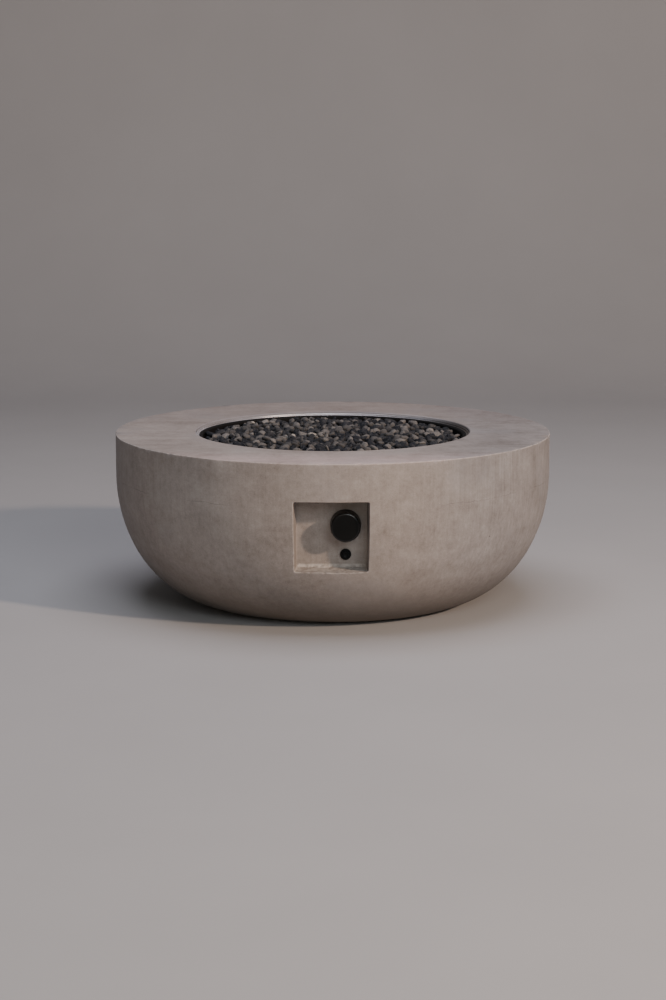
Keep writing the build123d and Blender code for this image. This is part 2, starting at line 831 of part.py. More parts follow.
def lava_rocks():
    """Loose top layer, a few kinds of rock set round a sunflower spiral and turned at random"""
    draw = random.Random(rock_seed)
    kinds = [lump(draw.uniform(rock_low, rock_high), draw) for kind in range(rock_kinds)]
    spacing = rock_radius * rock_spacing_share
    golden = math.pi * (3 - math.sqrt(5))
    count = int(((bed_radius - rock_radius) / spacing) ** 2)
    rocks = []
    for index in range(count):
        reach = spacing * math.sqrt(index + 1 / 2)
        foot = heap_height(max(reach - rock_radius, 0))
        place = Pos(reach * math.cos(index * golden), reach * math.sin(index * golden), foot)
        rocks.append(place * Rot(0, 0, draw.uniform(0, 360)) * kinds[draw.randrange(rock_kinds)])
    return Compound(children=rocks)


def tube_ends():
    """Where the gas tube leaves the valve and where it meets the elbow"""
    start = (knob_offset - outlet_reach, panel_back + stub_z, knob_z)
    end = (-elbow_reach, 0, elbow_z)
    return start, end


def gas_tube():
    """Bent tube from the valve's outlet round to the elbow"""
    start, end = tube_ends()
    route = [start, (-tube_offset, start[1], knob_z), (-tube_offset, 0, elbow_z), end]
    return piped(route, tube_bend, tube_radius, tube_bore)


def tube_nuts():
    """A nut over each end of the tube and the stub that it meets"""
    nut = hexagon(tube_nut_flat, -tube_nut_grip, tube_nut_grip)
    nut -= disc(outlet_radius + running, -tube_nut_grip - overrun, 0)
    nut -= disc(tube_radius + running, 0, tube_nut_grip + overrun)
    start, end = tube_ends()
    return Compound(children=[Pos(*start) * Rot(0, -90, 0) * nut, Pos(*end) * Rot(0, -90, 0) * nut])


pieces = [
    bowl_shell, burner_pan, burner_ring, burner_lock_nut, air_mixer, gas_orifice, elbow_fitting,
    gas_tube, tube_nuts, valve_body, valve_bonnet, valve_screws, valve_bracket, bracket_screws,
    valve_plug, valve_stem, push_pin, stem_spring, magnet_unit, thermocouple_nut, thermocouple_lead,
    thermocouple_tip, control_knob, igniter_barrel, igniter_bezel, igniter_button, igniter_battery,
    button_spring, igniter_terminals, lead_boots, ignition_lead, electrode_insulator, electrode_rod,
    pilot_bracket, pilot_screws, pilot_guard, rock_bed, lava_rocks,
]
for piece in pieces:
    save(piece.__name__, piece())
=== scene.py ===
import math
import bpy
import numpy as np
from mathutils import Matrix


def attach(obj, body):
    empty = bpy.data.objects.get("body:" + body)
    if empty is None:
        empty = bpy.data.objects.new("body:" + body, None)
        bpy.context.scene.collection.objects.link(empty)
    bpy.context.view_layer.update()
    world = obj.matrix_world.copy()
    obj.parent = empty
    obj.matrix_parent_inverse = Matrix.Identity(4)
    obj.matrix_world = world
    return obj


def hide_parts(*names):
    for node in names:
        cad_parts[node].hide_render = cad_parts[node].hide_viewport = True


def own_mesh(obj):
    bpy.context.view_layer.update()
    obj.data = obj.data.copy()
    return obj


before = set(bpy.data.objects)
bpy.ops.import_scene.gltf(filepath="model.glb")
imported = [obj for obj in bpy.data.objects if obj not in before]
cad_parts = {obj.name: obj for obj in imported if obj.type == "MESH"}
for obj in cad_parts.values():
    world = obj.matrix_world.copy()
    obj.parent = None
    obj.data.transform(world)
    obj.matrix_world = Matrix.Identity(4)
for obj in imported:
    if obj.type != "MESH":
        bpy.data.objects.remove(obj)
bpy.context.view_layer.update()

# The bowl is one hollow casting of fine grey-beige concrete: an upright band with crisp, slightly
# chipped edges, a belly that turns under to the foot, a ledge for the pan, and a drafted pocket for
# the controls. It is cast in one mould, so the pocket's walls and the panel belong to the same skin.
rim_radius = 0.5335
bowl_height = 0.414
upright_band = 0.096
foot_radius = 0.293
turn_share = 0.588
belly_share = 0.503
wall = 0.026
top_slab = 0.036
base_slab = 0.030
rim_arris = 0.0018
opening_arris = 0.003
edge_rest = 0.0016
edge_times = 3
opening_radius = 0.3365
ledge_drop = 0.0105
ledge_width = 0.012
service_radius = 0.140
channel_half = 0.018
channel_height = 0.020
channel_flank = 0.003
level_foot = 0.02
damp_and_shade_height = 0.190
hairline_z = 0.297
bowl_steps = 640
pocket_width = 0.174
pocket_height = 0.1706
pocket_drop = 0.0877
pocket_depth = 0.084
pocket_slope = math.tan(math.radians(4.0))
pocket_wall = 0.016
pocket_corner = 0.004
pocket_arris = 0.0014
pocket_cove = 0.002
pocket_bead = 0.006
panel_thickness = 0.014
hole_columns = 22
hole_low, hole_high = 0.128, 0.352
boss_columns = 26
boss_low, boss_high = 0.112, 0.366


def value_noise(points, cell, seed):
    """Random numbers from -1 to 1 at the corners of cubes of side cell, each from a hash of the corner's
    three whole numbers, blended inside the cube by 3t^2 - 2t^3 along every axis."""
    place = points / cell
    low = np.floor(place)
    part = place - low
    part = part * part * (3 - 2 * part)
    total = np.zeros(points.shape[:-1])
    for corner in np.ndindex(2, 2, 2):
        whole = (low + corner).astype(np.int64)
        mixed = (whole * (73856093, 19349663, 83492791)).sum(-1) + seed * 668265263
        mixed = ((mixed ^ (mixed >> 13)) * 1274126177) & 0xFFFFFFFF
        mixed = ((mixed ^ (mixed >> 15)) * 2246822519) & 0xFFFFFFFF
        mixed = mixed ^ (mixed >> 16)
        weight = np.where(corner, part, 1 - part).prod(-1)
        total = total + weight * (mixed / 2147483648.0 - 1)
    return total


def run(start, end, steps):
    """Evenly spaced points on a straight run, its end left out"""
    return np.linspace(start, end, steps, endpoint=False)


def arc(centre, radius, first, last, steps):
    """Points on a circle from the first angle to the last, in degrees"""
    angle = np.radians(np.linspace(first, last, steps))[:, None]
    return np.asarray(centre) + radius * np.hstack([np.cos(angle), np.sin(angle)])


def side_curve(radius, foot_z, start_z, steps):
    """Bezier curve between the upright wall and the foot, from the foot up: its four corners weighted by
    (1-t)^3, 3t(1-t)^2, 3t^2(1-t) and t^3."""
    knee = start_z - (start_z - foot_z) * turn_share
    belly = foot_radius + (radius - foot_radius) * belly_share
    corners = np.array([(radius, start_z), (radius, knee), (belly, foot_z), (foot_radius, foot_z)])
    t = np.linspace(1, 0, steps)[:, None]
    return np.hstack([(1 - t) ** 3, 3 * t * (1 - t) ** 2, 3 * t ** 2 * (1 - t), t ** 3]) @ corners


def quads(index):
    """The four corners of each cell of a grid of vertex numbers"""
    cells = [index[:-1, :-1], index[1:, :-1], index[1:, 1:], index[:-1, 1:]]
    return np.stack(cells, -1).reshape(-1, 4)


def make_piece(name, points, face_sets, material):
    """Mesh from an array of points and arrays of faces. The faces are turned round where the volume, the
    sum of p0 . (p1 x p2) over the triangles, comes out negative."""
    volume = 0
    for faces in face_sets:
        for last in range(2, faces.shape[1]):
            a, b, c = points[faces[:, 0]], points[faces[:, last - 1]], points[faces[:, last]]
            volume += (a * np.cross(b, c)).sum()
    if volume < 0:
        face_sets = [faces[:, ::-1] for faces in face_sets]
    corners = np.concatenate([faces.ravel() for faces in face_sets])
    sizes = np.concatenate([np.full(len(faces), faces.shape[1]) for faces in face_sets])
    mesh = bpy.data.meshes.new(name)
    mesh.vertices.add(len(points))
    mesh.vertices.foreach_set("co", points.ravel())
    mesh.loops.add(len(corners))
    mesh.loops.foreach_set("vertex_index", corners.astype(np.int32))
    mesh.polygons.add(len(sizes))
    mesh.polygons.foreach_set("loop_start", (np.cumsum(sizes) - sizes).astype(np.int32))
    mesh.polygons.foreach_set("use_smooth", np.ones(len(sizes), bool))
    mesh.update(calc_edges=True)
    mesh.validate()
    mesh.materials.append(material)
    piece = bpy.data.objects.new(name, mesh)
    bpy.context.scene.collection.objects.link(piece)
    return piece


def paint_points(piece, name, values):
    """One number for every point of a piece, which its material can read"""
    layer = piece.data.attributes.new(name, "FLOAT", "POINT")
    layer.data.foreach_set("value", values.astype(np.float32))


class Signal:
    """A socket of a material's node tree, so that shader maths reads as plain arithmetic"""

    def __init__(self, tree, socket):
        self.tree = tree
        self.socket = socket

    def node(self, kind, settings, inputs, output=0):
        """Adds any node: its settings first, ramp stops among them, then its sockets' values or links"""
        node = self.tree.nodes.new(kind)
        for key, value in settings.items():
            if key == "stops":
                ramp = node.color_ramp
                ramp.elements[0].position = value[0][0]
                ramp.elements[1].position = value[-1][0]
                for place, _ in value[1:-1]:
                    ramp.elements.new(place)
                for element, (_, colour) in zip(ramp.elements, value):
                    element.color = (*colour, 1.0)
            else:
                setattr(node, key, value)
        for key, value in inputs.items():
            if isinstance(value, Signal):
                self.tree.links.new(value.socket, node.inputs[key])
            else:
                node.inputs[key].default_value = value
        return Signal(self.tree, node.outputs[output])

    def math(self, operation, first, second):
        return self.node("ShaderNodeMath", {"operation": operation}, {0: first, 1: second})

    def __add__(self, other):
        return self.math("ADD", self, other)

    def __radd__(self, other):
        return self.math("ADD", other, self)

    def __sub__(self, other):
        return self.math("SUBTRACT", self, other)

    def __rsub__(self, other):
        return self.math("SUBTRACT", other, self)

    def __mul__(self, other):
        return self.math("MULTIPLY", self, other)

    def __rmul__(self, other):
        return self.math("MULTIPLY", other, self)


def make_material(name, recipe):
    """Material whose recipe takes the place on the object and gives the shader's sockets their values"""
    material = bpy.data.materials.new(name)
    material.use_nodes = True
    tree = material.node_tree
    shader = tree.nodes["Principled BSDF"]
    place = Signal(tree, tree.nodes.new("ShaderNodeTexCoord").outputs["Object"])
    for socket, value in recipe(place).items():
        if isinstance(value, Signal):
            tree.links.new(value.socket, shader.inputs[socket])
        else:
            shader.inputs[socket].default_value = value
    return material


def stretched(place, scale):
    """The place with each axis multiplied by its own scale"""
    return place.node("ShaderNodeVectorMath", {"operation": "MULTIPLY"}, {0: place, 1: scale})


def along(place, axis):
    """One coordinate of the place: X, Y or Z"""
    return place.node("ShaderNodeSeparateXYZ", {}, {"Vector": place}, axis)


def painted(place, name):
    """The number that paint_points gave to the points of a piece"""
    return place.node("ShaderNodeAttribute", {"attribute_name": name}, {}, "Fac")


def cloud(place, scale, detail=3.0, rough=0.55):
    """Soft noise from 0 to 1 with about scale lumps to the metre"""
    inputs = {"Vector": place, "Scale": scale, "Detail": detail, "Roughness": rough}
    return place.node("ShaderNodeTexNoise", {}, inputs, "Fac")


def band(value, low, high):
    """Rises smoothly from 0 at low to 1 at high"""
    inputs = {"Value": value, "From Min": low, "From Max": high}
    return value.node("ShaderNodeMapRange", {"interpolation_type": "SMOOTHSTEP"}, inputs)


def blend_colour(share, first, second, kind="MIX"):
    """Colour that goes from the first to the second as share goes from 0 to 1"""
    settings = {"data_type": "RGBA", "blend_type": kind}
    return share.node("ShaderNodeMix", settings, {0: share, 6: first, 7: second}, 2)


def bumped(height, distance, strength=1.0):
    """Surface normal tilted by a height from 0 to 1 that stands for distance metres"""
    inputs = {"Strength": strength, "Distance": distance, "Height": height}
    return height.node("ShaderNodeBump", {}, inputs)


def pits(place, scale, size, chosen):
    """Round pits: 1 at the middle of those Voronoi cells whose random shade is over chosen"""
    inputs = {"Vector": place, "Scale": scale}
    middle = place.node("ShaderNodeTexVoronoi", {}, inputs, "Distance")
    shade = place.node("ShaderNodeTexVoronoi", {}, inputs, "Color")
    pick = shade.node("ShaderNodeSeparateColor", {}, {"Color": shade}, "Red")
    return (1 - band(middle, size * 0.5, size)) * band(pick, chosen, chosen + 0.02)


def concrete(place):
    """Warm grey concrete: clouds of beige and cool grey, trowel marks on the level top, upright run marks
    and streaks on the side, fine grain, a few pinholes and hairlines, pale edges of wear and painted
    light, and a foot darkened by damp and painted shade. The right side has painted shade, darker and
    cooler; the top has painted light in front and painted shade at the back; and the mouth's inner edge
    has painted reflection and shade, bluish-grey on the left, paler on the right, dark at the right tip."""
    wear = painted(place, "wear")
    across, depth, up = along(place, "X"), along(place, "Y"), along(place, "Z")
    wide = cloud(place, 3.2, 4.0, 0.6)
    patch = cloud(stretched(place, (1.0, 1.0, 1.6)), 11.0, 5.0, 0.62)
    marks = cloud(stretched(place, (60.0, 60.0, 4.0)), 1.0, 3.0, 0.55)
    streaks = cloud(stretched(place, (170.0, 170.0, 7.0)), 1.0, 3.0, 0.6)
    blotch = cloud(place, 34.0, 3.0, 0.6)
    trowel = cloud(stretched(place, (5.0, 26.0, 26.0)), 1.0, 4.0, 0.6)
    grain = cloud(place, 420.0, 2.0, 0.7)
    sand = cloud(place, 95.0, 3.0, 0.6)
    level = band(up, bowl_height - 0.004, bowl_height - 0.001)
    right = band(across, 0.11, 0.40)
    tone = (1 + 0.3 * right) * (0.33 * (patch - 0.5) + 0.22 * (blotch - 0.5))
    tone = tone + 0.36 * wide + 0.34 * grain + 0.28 * sand + 0.01
    tone = tone + 0.28 * level * (trowel - 0.5)
    tone = tone + (1 - level) * (0.12 * (marks - 0.5) + (0.15 + 0.25 * right) * (streaks - 0.5))
    colour = tone.node("ShaderNodeValToRGB", {"stops": [
        (0.30, (0.215, 0.182, 0.162)),
        (0.44, (0.288, 0.250, 0.228)),
        (0.55, (0.335, 0.295, 0.272)),
        (0.70, (0.400, 0.358, 0.332)),
    ]}, {"Fac": tone})
    cool = band(cloud(place, 6.5, 3.0, 0.5), 0.52, 0.72)
    colour = blend_colour(0.35 * cool, colour, (0.262, 0.247, 0.247, 1))
    # Painted shade: the right side is made darker and cooler
    colour = blend_colour(right * (1 - 0.3 * level), colour, (0.81, 0.865, 0.93, 1), "MULTIPLY")
    # Painted light on the front of the top, painted shade at its back
    front = level * (1 - band(depth, -0.48, -0.32))
    colour = blend_colour(front, colour, (1.36, 1.26, 1.29, 1), "MULTIPLY")
    back = level * band(depth, 0.0, 0.35)
    colour = blend_colour(back, colour, (0.89, 0.86, 0.86, 1), "MULTIPLY")
    level_place = stretched(place, (1, 1, 0))
    radius = place.node("ShaderNodeVectorMath", {"operation": "LENGTH"}, {0: level_place}, "Value")
    # Painted reflection and shade on the mouth's inner edge: bluish-grey on the left, paler on the right,
    # dark at the right tip
    mouth = (1 - band(radius, opening_radius + 0.0005, opening_radius + 0.004)) * band(up, 0.36, 0.38)
    mouth_painted_light_and_shade = blend_colour(band(across, 0.05, 0.25), (0.225, 0.222, 0.245, 1), (0.46, 0.43, 0.44, 1))
    mouth_painted_light_and_shade = blend_colour(band(across, 0.24, 0.33), mouth_painted_light_and_shade, (0.17, 0.15, 0.14, 1))
    colour = blend_colour(0.80 * mouth, colour, mouth_painted_light_and_shade)
    # Darker towards the foot: damp, and painted shade under the belly
    foot_damp_and_shade = 1 - band(up, 0.0, damp_and_shade_height)
    colour = blend_colour(0.72 * foot_damp_and_shade, colour, (0.120, 0.101, 0.086, 1))
    lift = up - 0.016 * cloud(place, 8.0, 4.0, 0.6) - 0.010 * cloud(place, 55.0, 3.0, 0.6) - hairline_z
    hairline = 1 - band(lift * lift, 0.0, 0.0000006)
    hairline = hairline * band(cloud(place, 7.0, 3.0, 0.55), 0.47, 0.60)
    pinhole = pits(place, 15.0, 0.035, 0.45)
    under_rim = band(up, bowl_height - 0.022, bowl_height - 0.006) * (1 - level)
    pores = pits(place, 62.0, 0.10, 0.86) + under_rim * pits(place, 85.0, 0.16, 0.72)
    colour = blend_colour(0.45 * hairline, colour, (0.10, 0.085, 0.078, 1))
    colour = blend_colour(0.75 * pinhole, colour, (0.060, 0.050, 0.045, 1))
    colour = blend_colour(0.50 * pores, colour, (0.12, 0.10, 0.09, 1))
    # Pale edges: partly wear, partly painted highlight
    worn_and_painted_light = wear * band(cloud(place, 90.0, 3.0, 0.6), 0.32, 0.58)
    colour = blend_colour(0.68 * worn_and_painted_light, colour, (0.51, 0.468, 0.438, 1))
    height = 0.30 * grain + 0.55 * sand + 0.9 * patch
    height = height - 0.8 * pinhole - 0.4 * pores - 0.25 * hairline
    return {
        "Base Color": colour,
        "Roughness": 0.80 + 0.22 * (sand - 0.5),
        "Specular IOR Level": 0.32,
        "Normal": bumped(height, 0.0008, 0.55),
    }


def skin_offset(points):
    """Slow hand-finished waviness of the skin, in metres, from two noises. The skin lies a little inside
    the mould's face."""
    return 0.00050 * value_noise(points, 0.130, 5) + 0.00018 * value_noise(points, 0.032, 6) - 0.0002


def chip_depth(points):
    """How far an edge is broken away: small nicks and a few longer chips where two noises run high"""
    nick = np.clip(value_noise(points, 0.0050, 7) - 0.20, 0, 1) / 0.80
    chip = np.clip(value_noise(points, 0.013, 8) - 0.45, 0, 1) / 0.55
    return 0.0016 * nick + 0.0034 * chip


def seam(coarse, fine):
    """Faces between a closed ring of points and a ring of several times as many: each coarse side and
    the fine points that face it make one face."""
    times = len(fine) // len(coarse)
    facing = times * np.arange(len(coarse))[:, None] + np.arange(times, -1, -1)
    return np.column_stack([coarse, np.roll(coarse, -1), np.append(fine, fine[0])[facing]])


def finer(ring):
    """A closed ring of values with each step split into edge_times even parts"""
    share = (np.arange(edge_times) / edge_times).reshape((1, edge_times) + (1,) * (ring.ndim - 1))
    split = ring[:, None] * (1 - share) + np.roll(ring, -1, 0)[:, None] * share
    return split.reshape(-1, *ring.shape[1:])


band_z = bowl_height - upright_band
ceiling_z = bowl_height - top_slab
ledge_z = bowl_height - ledge_drop
ledge_radius = opening_radius - ledge_width
inner_radius = rim_radius - wall
under_edge = (rim_radius, bowl_height - rim_arris - edge_rest)
over_edge = (rim_radius - rim_arris - edge_rest, bowl_height)
profile_runs = [
    side_curve(rim_radius, 0, band_z, 49)[:-1],
    run((rim_radius, band_z), under_edge, 12),
    [under_edge],
    run(over_edge, (opening_radius + opening_arris + edge_rest, bowl_height), 9),
    [(opening_radius + opening_arris + edge_rest, bowl_height)],
    arc((opening_radius + opening_arris, bowl_height - opening_arris), opening_arris, 90, 180, 7),
    run((opening_radius, bowl_height - 0.004), (opening_radius, ledge_z), 2),
    run((opening_radius, ledge_z), (ledge_radius, ledge_z), 2),
    run((ledge_radius, ledge_z), (ledge_radius, ceiling_z), 2),
    run((ledge_radius, ceiling_z), (inner_radius, ceiling_z), 3),
    run((inner_radius, ceiling_z), (inner_radius, band_z), 5),
    side_curve(inner_radius, base_slab, band_z, 15)[:0:-1],
    run((foot_radius, base_slab), (service_radius, base_slab), 3),
    run((service_radius, base_slab), (service_radius, 0), 2),
    run((service_radius, 0), (foot_radius, 0), 4),
]
profile = np.vstack(profile_runs)
starts = np.cumsum([0] + [len(part) for part in profile_runs])
profile_count = len(profile)
tangent = np.roll(profile, -1, 0) - np.roll(profile, 1, 0)
slant = np.stack([tangent[:, 1], -tangent[:, 0]], -1) / np.hypot(*tangent.T)[:, None]
slant[starts[2]:starts[3] + 1] = ((1, 0), (0, 1))


def turned(shape, steps):
    """Radii and heights carried round the axis from the back: x = r cos, y = r sin, z = height"""
    angle = math.pi * (2 * np.arange(steps) / steps - 1.5)
    way = np.stack([np.cos(angle), np.sin(angle)], -1)
    return np.concatenate([shape[None, :, :1] * way[:, None, :],
                           np.broadcast_to(shape[None, :, 1:], (steps, len(shape), 1))], -1)


def weathered(grid, way, chipped):
    """A grid of the skin moved by its waviness, and drawn in by the chips where chipped is above 0. The
    foot stays flat, and nothing rises above the top."""
    shift = np.clip(grid[..., 2] / level_foot, 0, 1) * skin_offset(grid) - chipped * chip_depth(grid)
    shift = np.where(grid[..., 2] > bowl_height - 0.0005, np.minimum(shift, 0), shift)
    return grid + shift[..., None] * way


bowl_grid = weathered(turned(profile, bowl_steps), turned(slant, bowl_steps), 0)
groove = np.clip((channel_half - np.abs(bowl_grid[..., 0])) / channel_flank + 0.5, 0, 1) * channel_height
bowl_grid[..., 2] = np.maximum(bowl_grid[..., 2], np.where(bowl_grid[..., 1] > 0, groove, 0))
edge_way = arc((0, 0), 1, 0, 90, 7)
edge_line = (rim_radius - rim_arris, bowl_height - rim_arris) + rim_arris * edge_way
edge_steps = edge_times * bowl_steps
edge_grid = weathered(turned(edge_line, edge_steps), turned(edge_way, edge_steps), 1)


def hole_border(columns, first_row, last_row):
    """Vertex numbers round a rectangle of grid cells at the front, and each one's place across and up it
    from 0 to 1, anticlockwise from its first corner."""
    left = bowl_steps // 2 - columns
    wide, tall = 2 * columns, last_row - first_row
    along, climb = np.arange(wide) / wide, np.arange(tall) / tall
    across = np.concatenate([along, np.ones(tall), 1 - along, np.zeros(tall)])
    up = np.concatenate([np.zeros(wide), climb, np.ones(wide), 1 - climb])
    column = left + np.rint(across * wide).astype(int)
    row = first_row + np.rint(up * tall).astype(int)
    return column * profile_count + row, across, up, wide, tall


def pocket_outline(across, up, depth_y, grow):
    """Rectangle of the drafted pocket at a depth, made larger by grow, its corners rounded: the part of
    a point that lies in a corner square is drawn back onto the corner's circle."""
    growth = grow - pocket_slope * (depth_y + rim_radius)
    half = np.stack([pocket_width / 2 + growth, pocket_height / 2 + growth], -1)
    flat = np.stack([2 * across - 1, 2 * up - 1], -1) * half
    into = np.clip(np.abs(flat) - (half - pocket_corner), 0, None)
    reach = np.linalg.norm(into, axis=-1, keepdims=True)
    inside = (into > 0).all(-1, keepdims=True)
    rounded = half - pocket_corner + into * pocket_corner / np.maximum(reach, 1e-9)
    drawn = np.sign(flat) * np.where(inside, rounded, np.abs(flat))
    return drawn[..., 0], bowl_height - pocket_drop - pocket_height / 2 + drawn[..., 1]


def wall_y(x, z, side):
    """Depth of a round wall at a place seen from the front: -sqrt(r(z)^2 - x^2)"""
    order = np.argsort(side[:, 1])
    radius = np.interp(z, side[order, 1], side[order, 0])
    return -np.sqrt(radius ** 2 - x ** 2)


def wall_outline(across, up, side, grow):
    """The pocket's outline where it meets a round wall, found by four rounds of trial depth"""
    depth_y = np.full(across.shape, -rim_radius)
    for _ in range(4):
        x, z = pocket_outline(across, up, depth_y, grow)
        depth_y = wall_y(x, z, side)
    return x, depth_y, z


def close_hole(border, rings, wide, tall, first):
    """Faces from a hole's border through its rings, and a flat grid a little smaller than the last ring
    that closes it. Gives the new points and the sets of faces, numbered from first on."""
    ring_index = first + np.arange(rings[..., 0].size).reshape(rings.shape[:2])
    last = rings[::len(rings) // len(border), -1]
    x, z = last[:wide + 1, 0], last[wide:wide + tall + 1, 2]
    x, z = x.mean() + 0.98 * (x - x.mean()), z.mean() + 0.98 * (z - z.mean())
    x, z = np.meshgrid(x, z, indexing="ij")
    cap = np.stack([x, np.full(x.shape, last[wide // 2, 1]), z], -1).reshape(-1, 3)
    cap_index = first + ring_index.size + np.arange(len(cap)).reshape(wide + 1, tall + 1)
    cap_ring = np.concatenate([
        cap_index[:-1, 0], cap_index[-1, :-1], cap_index[:0:-1, -1], cap_index[0, :0:-1]])
    return np.vstack([rings.reshape(-1, 3), cap]), [
        seam(border, ring_index[:, 0]),
        quads(np.vstack([ring_index, ring_index[:1]])),
        seam(cap_ring, ring_index[:, -1])[:, ::-1],
        quads(cap_index),
    ]


outer_side = profile[:starts[3]]
first_row = int(np.argmin(np.abs(outer_side[:, 1] - hole_low)))
last_row = int(np.argmin(np.abs(outer_side[:, 1] - hole_high)))
border, across, up, wide, tall = hole_border(hole_columns, first_row, last_row)
across, up = finer(across), finer(up)
flat_grid = bowl_grid.reshape(-1, 3)
border_x, _, border_z = finer(flat_grid[border]).T
sill, left_side = up < 0.01, across < 0.01
rough_side = np.maximum(sill, 0.6 * left_side)
edge_place = np.stack(wall_outline(across, up, outer_side, 0), -1)
lumps = value_noise(edge_place, 0.0055, 9) * (0.00015 + 0.00035 * rough_side)
lumps = lumps + value_noise(edge_place, 0.024, 10) * (0.0002 + 0.0006 * rough_side)
pocket_rings = []
rim_x, _, rim_z = wall_outline(across, up, outer_side, pocket_arris + lumps)
for share in (0.2, 0.45, 0.7, 0.88, 0.96, 1.0):
    x = border_x * (1 - share) + rim_x * share
    z = border_z * (1 - share) + rim_z * share
    y = wall_y(x, z, outer_side)
    skin = np.stack([x, y, z], -1)
    outward = np.stack([x, y, np.zeros_like(x)], -1) / np.hypot(x, y)[:, None]
    pocket_rings.append(skin + skin_offset(skin)[:, None] * outward)
for turn in np.radians((30, 60, 90)):
    x, y, z = wall_outline(across, up, outer_side, pocket_arris * (1 - math.sin(turn)) + lumps)
    pocket_rings.append(np.stack([x, y + pocket_arris * (1 - math.cos(turn)) + lumps, z], -1))
panel_front = pocket_depth - rim_radius
cove = np.where(sill, pocket_bead, pocket_cove)
bead_lumps = value_noise(edge_place, 0.010, 11) + 0.5 * value_noise(edge_place, 0.0045, 16)
bead_lumps = bead_lumps * np.where(sill, 0.0016, 0.0003)
bead_lumps = bead_lumps * np.clip(8 * np.minimum(across, 1 - across), 0, 1)
mouth_y = pocket_rings[-1][:, 1]
for share in (0.15, 0.32, 0.5, 0.68, 0.85, 1.0):
    y = mouth_y * (1 - share) + (panel_front - cove) * share
    x, z = pocket_outline(across, up, y, lumps * (1 - share))
    ripple = 0.0005 * value_noise(np.stack([x, y, z], -1), 0.024, 12)
    pocket_rings.append(np.stack([x - np.sign(x) * ripple * (np.abs(2 * across - 1) > 0.99),
                                  y, z + ripple * (np.abs(2 * up - 1) > 0.99)], -1))
for turn in np.radians((22.5, 45, 67.5, 90)):
    y = panel_front - cove * (1 - math.sin(turn))
    x, z = pocket_outline(across, up, y, -cove * (1 - math.cos(turn)))
    swell = bead_lumps * math.sin(2 * turn)
    pocket_rings.append(np.stack([x, y - swell, z + swell * sill], -1))
pocket_rings = np.stack(pocket_rings, 1)
pocket_points, pocket_faces = close_hole(border, pocket_rings, wide, tall, len(flat_grid))
panel_points = pocket_points[pocket_rings.shape[0] * pocket_rings.shape[1]:]
panel_waves = 0.0007 * value_noise(panel_points, 0.045, 13)
panel_points[:, 1] += panel_waves + 0.0002 * value_noise(panel_points, 0.012, 14)

inner_side = profile[starts[10]:starts[12] + 1]
boss_first = starts[10] + int(np.argmin(np.abs(inner_side[:, 1] - boss_high)))
boss_last = starts[10] + int(np.argmin(np.abs(inner_side[:, 1] - boss_low)))
boss_border, boss_across, boss_down, boss_wide, boss_tall = hole_border(
    boss_columns, boss_first, boss_last)
boss_up = 1 - boss_down
boss_rings = []
rim_x, rim_y, rim_z = wall_outline(boss_across, boss_up, inner_side, pocket_wall)
for share in (0.35, 0.7, 1.0):
    x = flat_grid[boss_border, 0] * (1 - share) + rim_x * share
    z = flat_grid[boss_border, 2] * (1 - share) + rim_z * share
    boss_rings.append(np.stack([x, wall_y(x, z, inner_side), z], -1))
for share in (0.05, 0.35, 0.65, 0.95, 1.0):
    y = rim_y * (1 - share) + (panel_front + panel_thickness) * share
    x, z = pocket_outline(boss_across, boss_up, y, pocket_wall)
    boss_rings.append(np.stack([x, y, z], -1))
boss_rings = np.stack(boss_rings, 1)
boss_points, boss_faces = close_hole(
    boss_border, boss_rings, boss_wide, boss_tall, len(flat_grid) + len(pocket_points))

grid_index = np.arange(len(flat_grid)).reshape(bowl_steps, profile_count)
kept = np.ones((bowl_steps, profile_count), bool)
kept[:, starts[2]] = False
middle = bowl_steps // 2
kept[middle - hole_columns:middle + hole_columns, first_row:last_row] = False
kept[middle - boss_columns:middle + boss_columns, boss_first:boss_last] = False
grid_faces = quads(np.pad(grid_index, ((0, 1), (0, 1)), mode="wrap"))[kept.ravel()]
edge_first = len(flat_grid) + len(pocket_points) + len(boss_points)
edge_index = edge_first + np.arange(edge_grid[..., 0].size).reshape(edge_grid.shape[:2])
edge_faces = [
    seam(grid_index[:, starts[2]], edge_index[:, 0]),
    quads(np.vstack([edge_index, edge_index[:1]])),
    seam(grid_index[:, starts[3]], edge_index[:, -1])[:, ::-1],
]
bowl_points = np.vstack([flat_grid, pocket_points, boss_points, edge_grid.reshape(-1, 3)])
bowl_faces = [grid_faces, *pocket_faces, *boss_faces, *edge_faces]
bowl = make_piece("concrete_bowl", bowl_points, bowl_faces, make_material("cast_concrete", concrete))
# Pale wear and painted light along the pocket's rings: its edge, then its walls, then the cove at the
# panel
ring_wear_and_light = np.zeros(pocket_rings.shape[:2])
ring_wear_and_light[:, 4:10] = np.array((0.2, 0.8, 1.0, 1.0, 0.7, 0.2)) * (0.15 + 0.85 * rough_side)[:, None]
ring_wear_and_light[:, 10:-5] = np.where(sill, 1.3, 0.0)[:, None]
ring_wear_and_light[:, -5:] = np.where(sill, 1.3, 0.1)[:, None]
# Pale wear and painted highlight along the rim's rounded edge
edge_wear_and_light = np.broadcast_to((0.4, 0.8, 1.0, 1.0, 1.0, 0.8, 0.4), edge_grid.shape[:2])
paint_points(bowl, "wear", np.concatenate([
    np.zeros(len(flat_grid)), ring_wear_and_light.ravel(),
    np.zeros(len(panel_points) + len(boss_points)), edge_wear_and_light.ravel()]))
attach(bowl, "bowl")
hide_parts("bowl_shell")

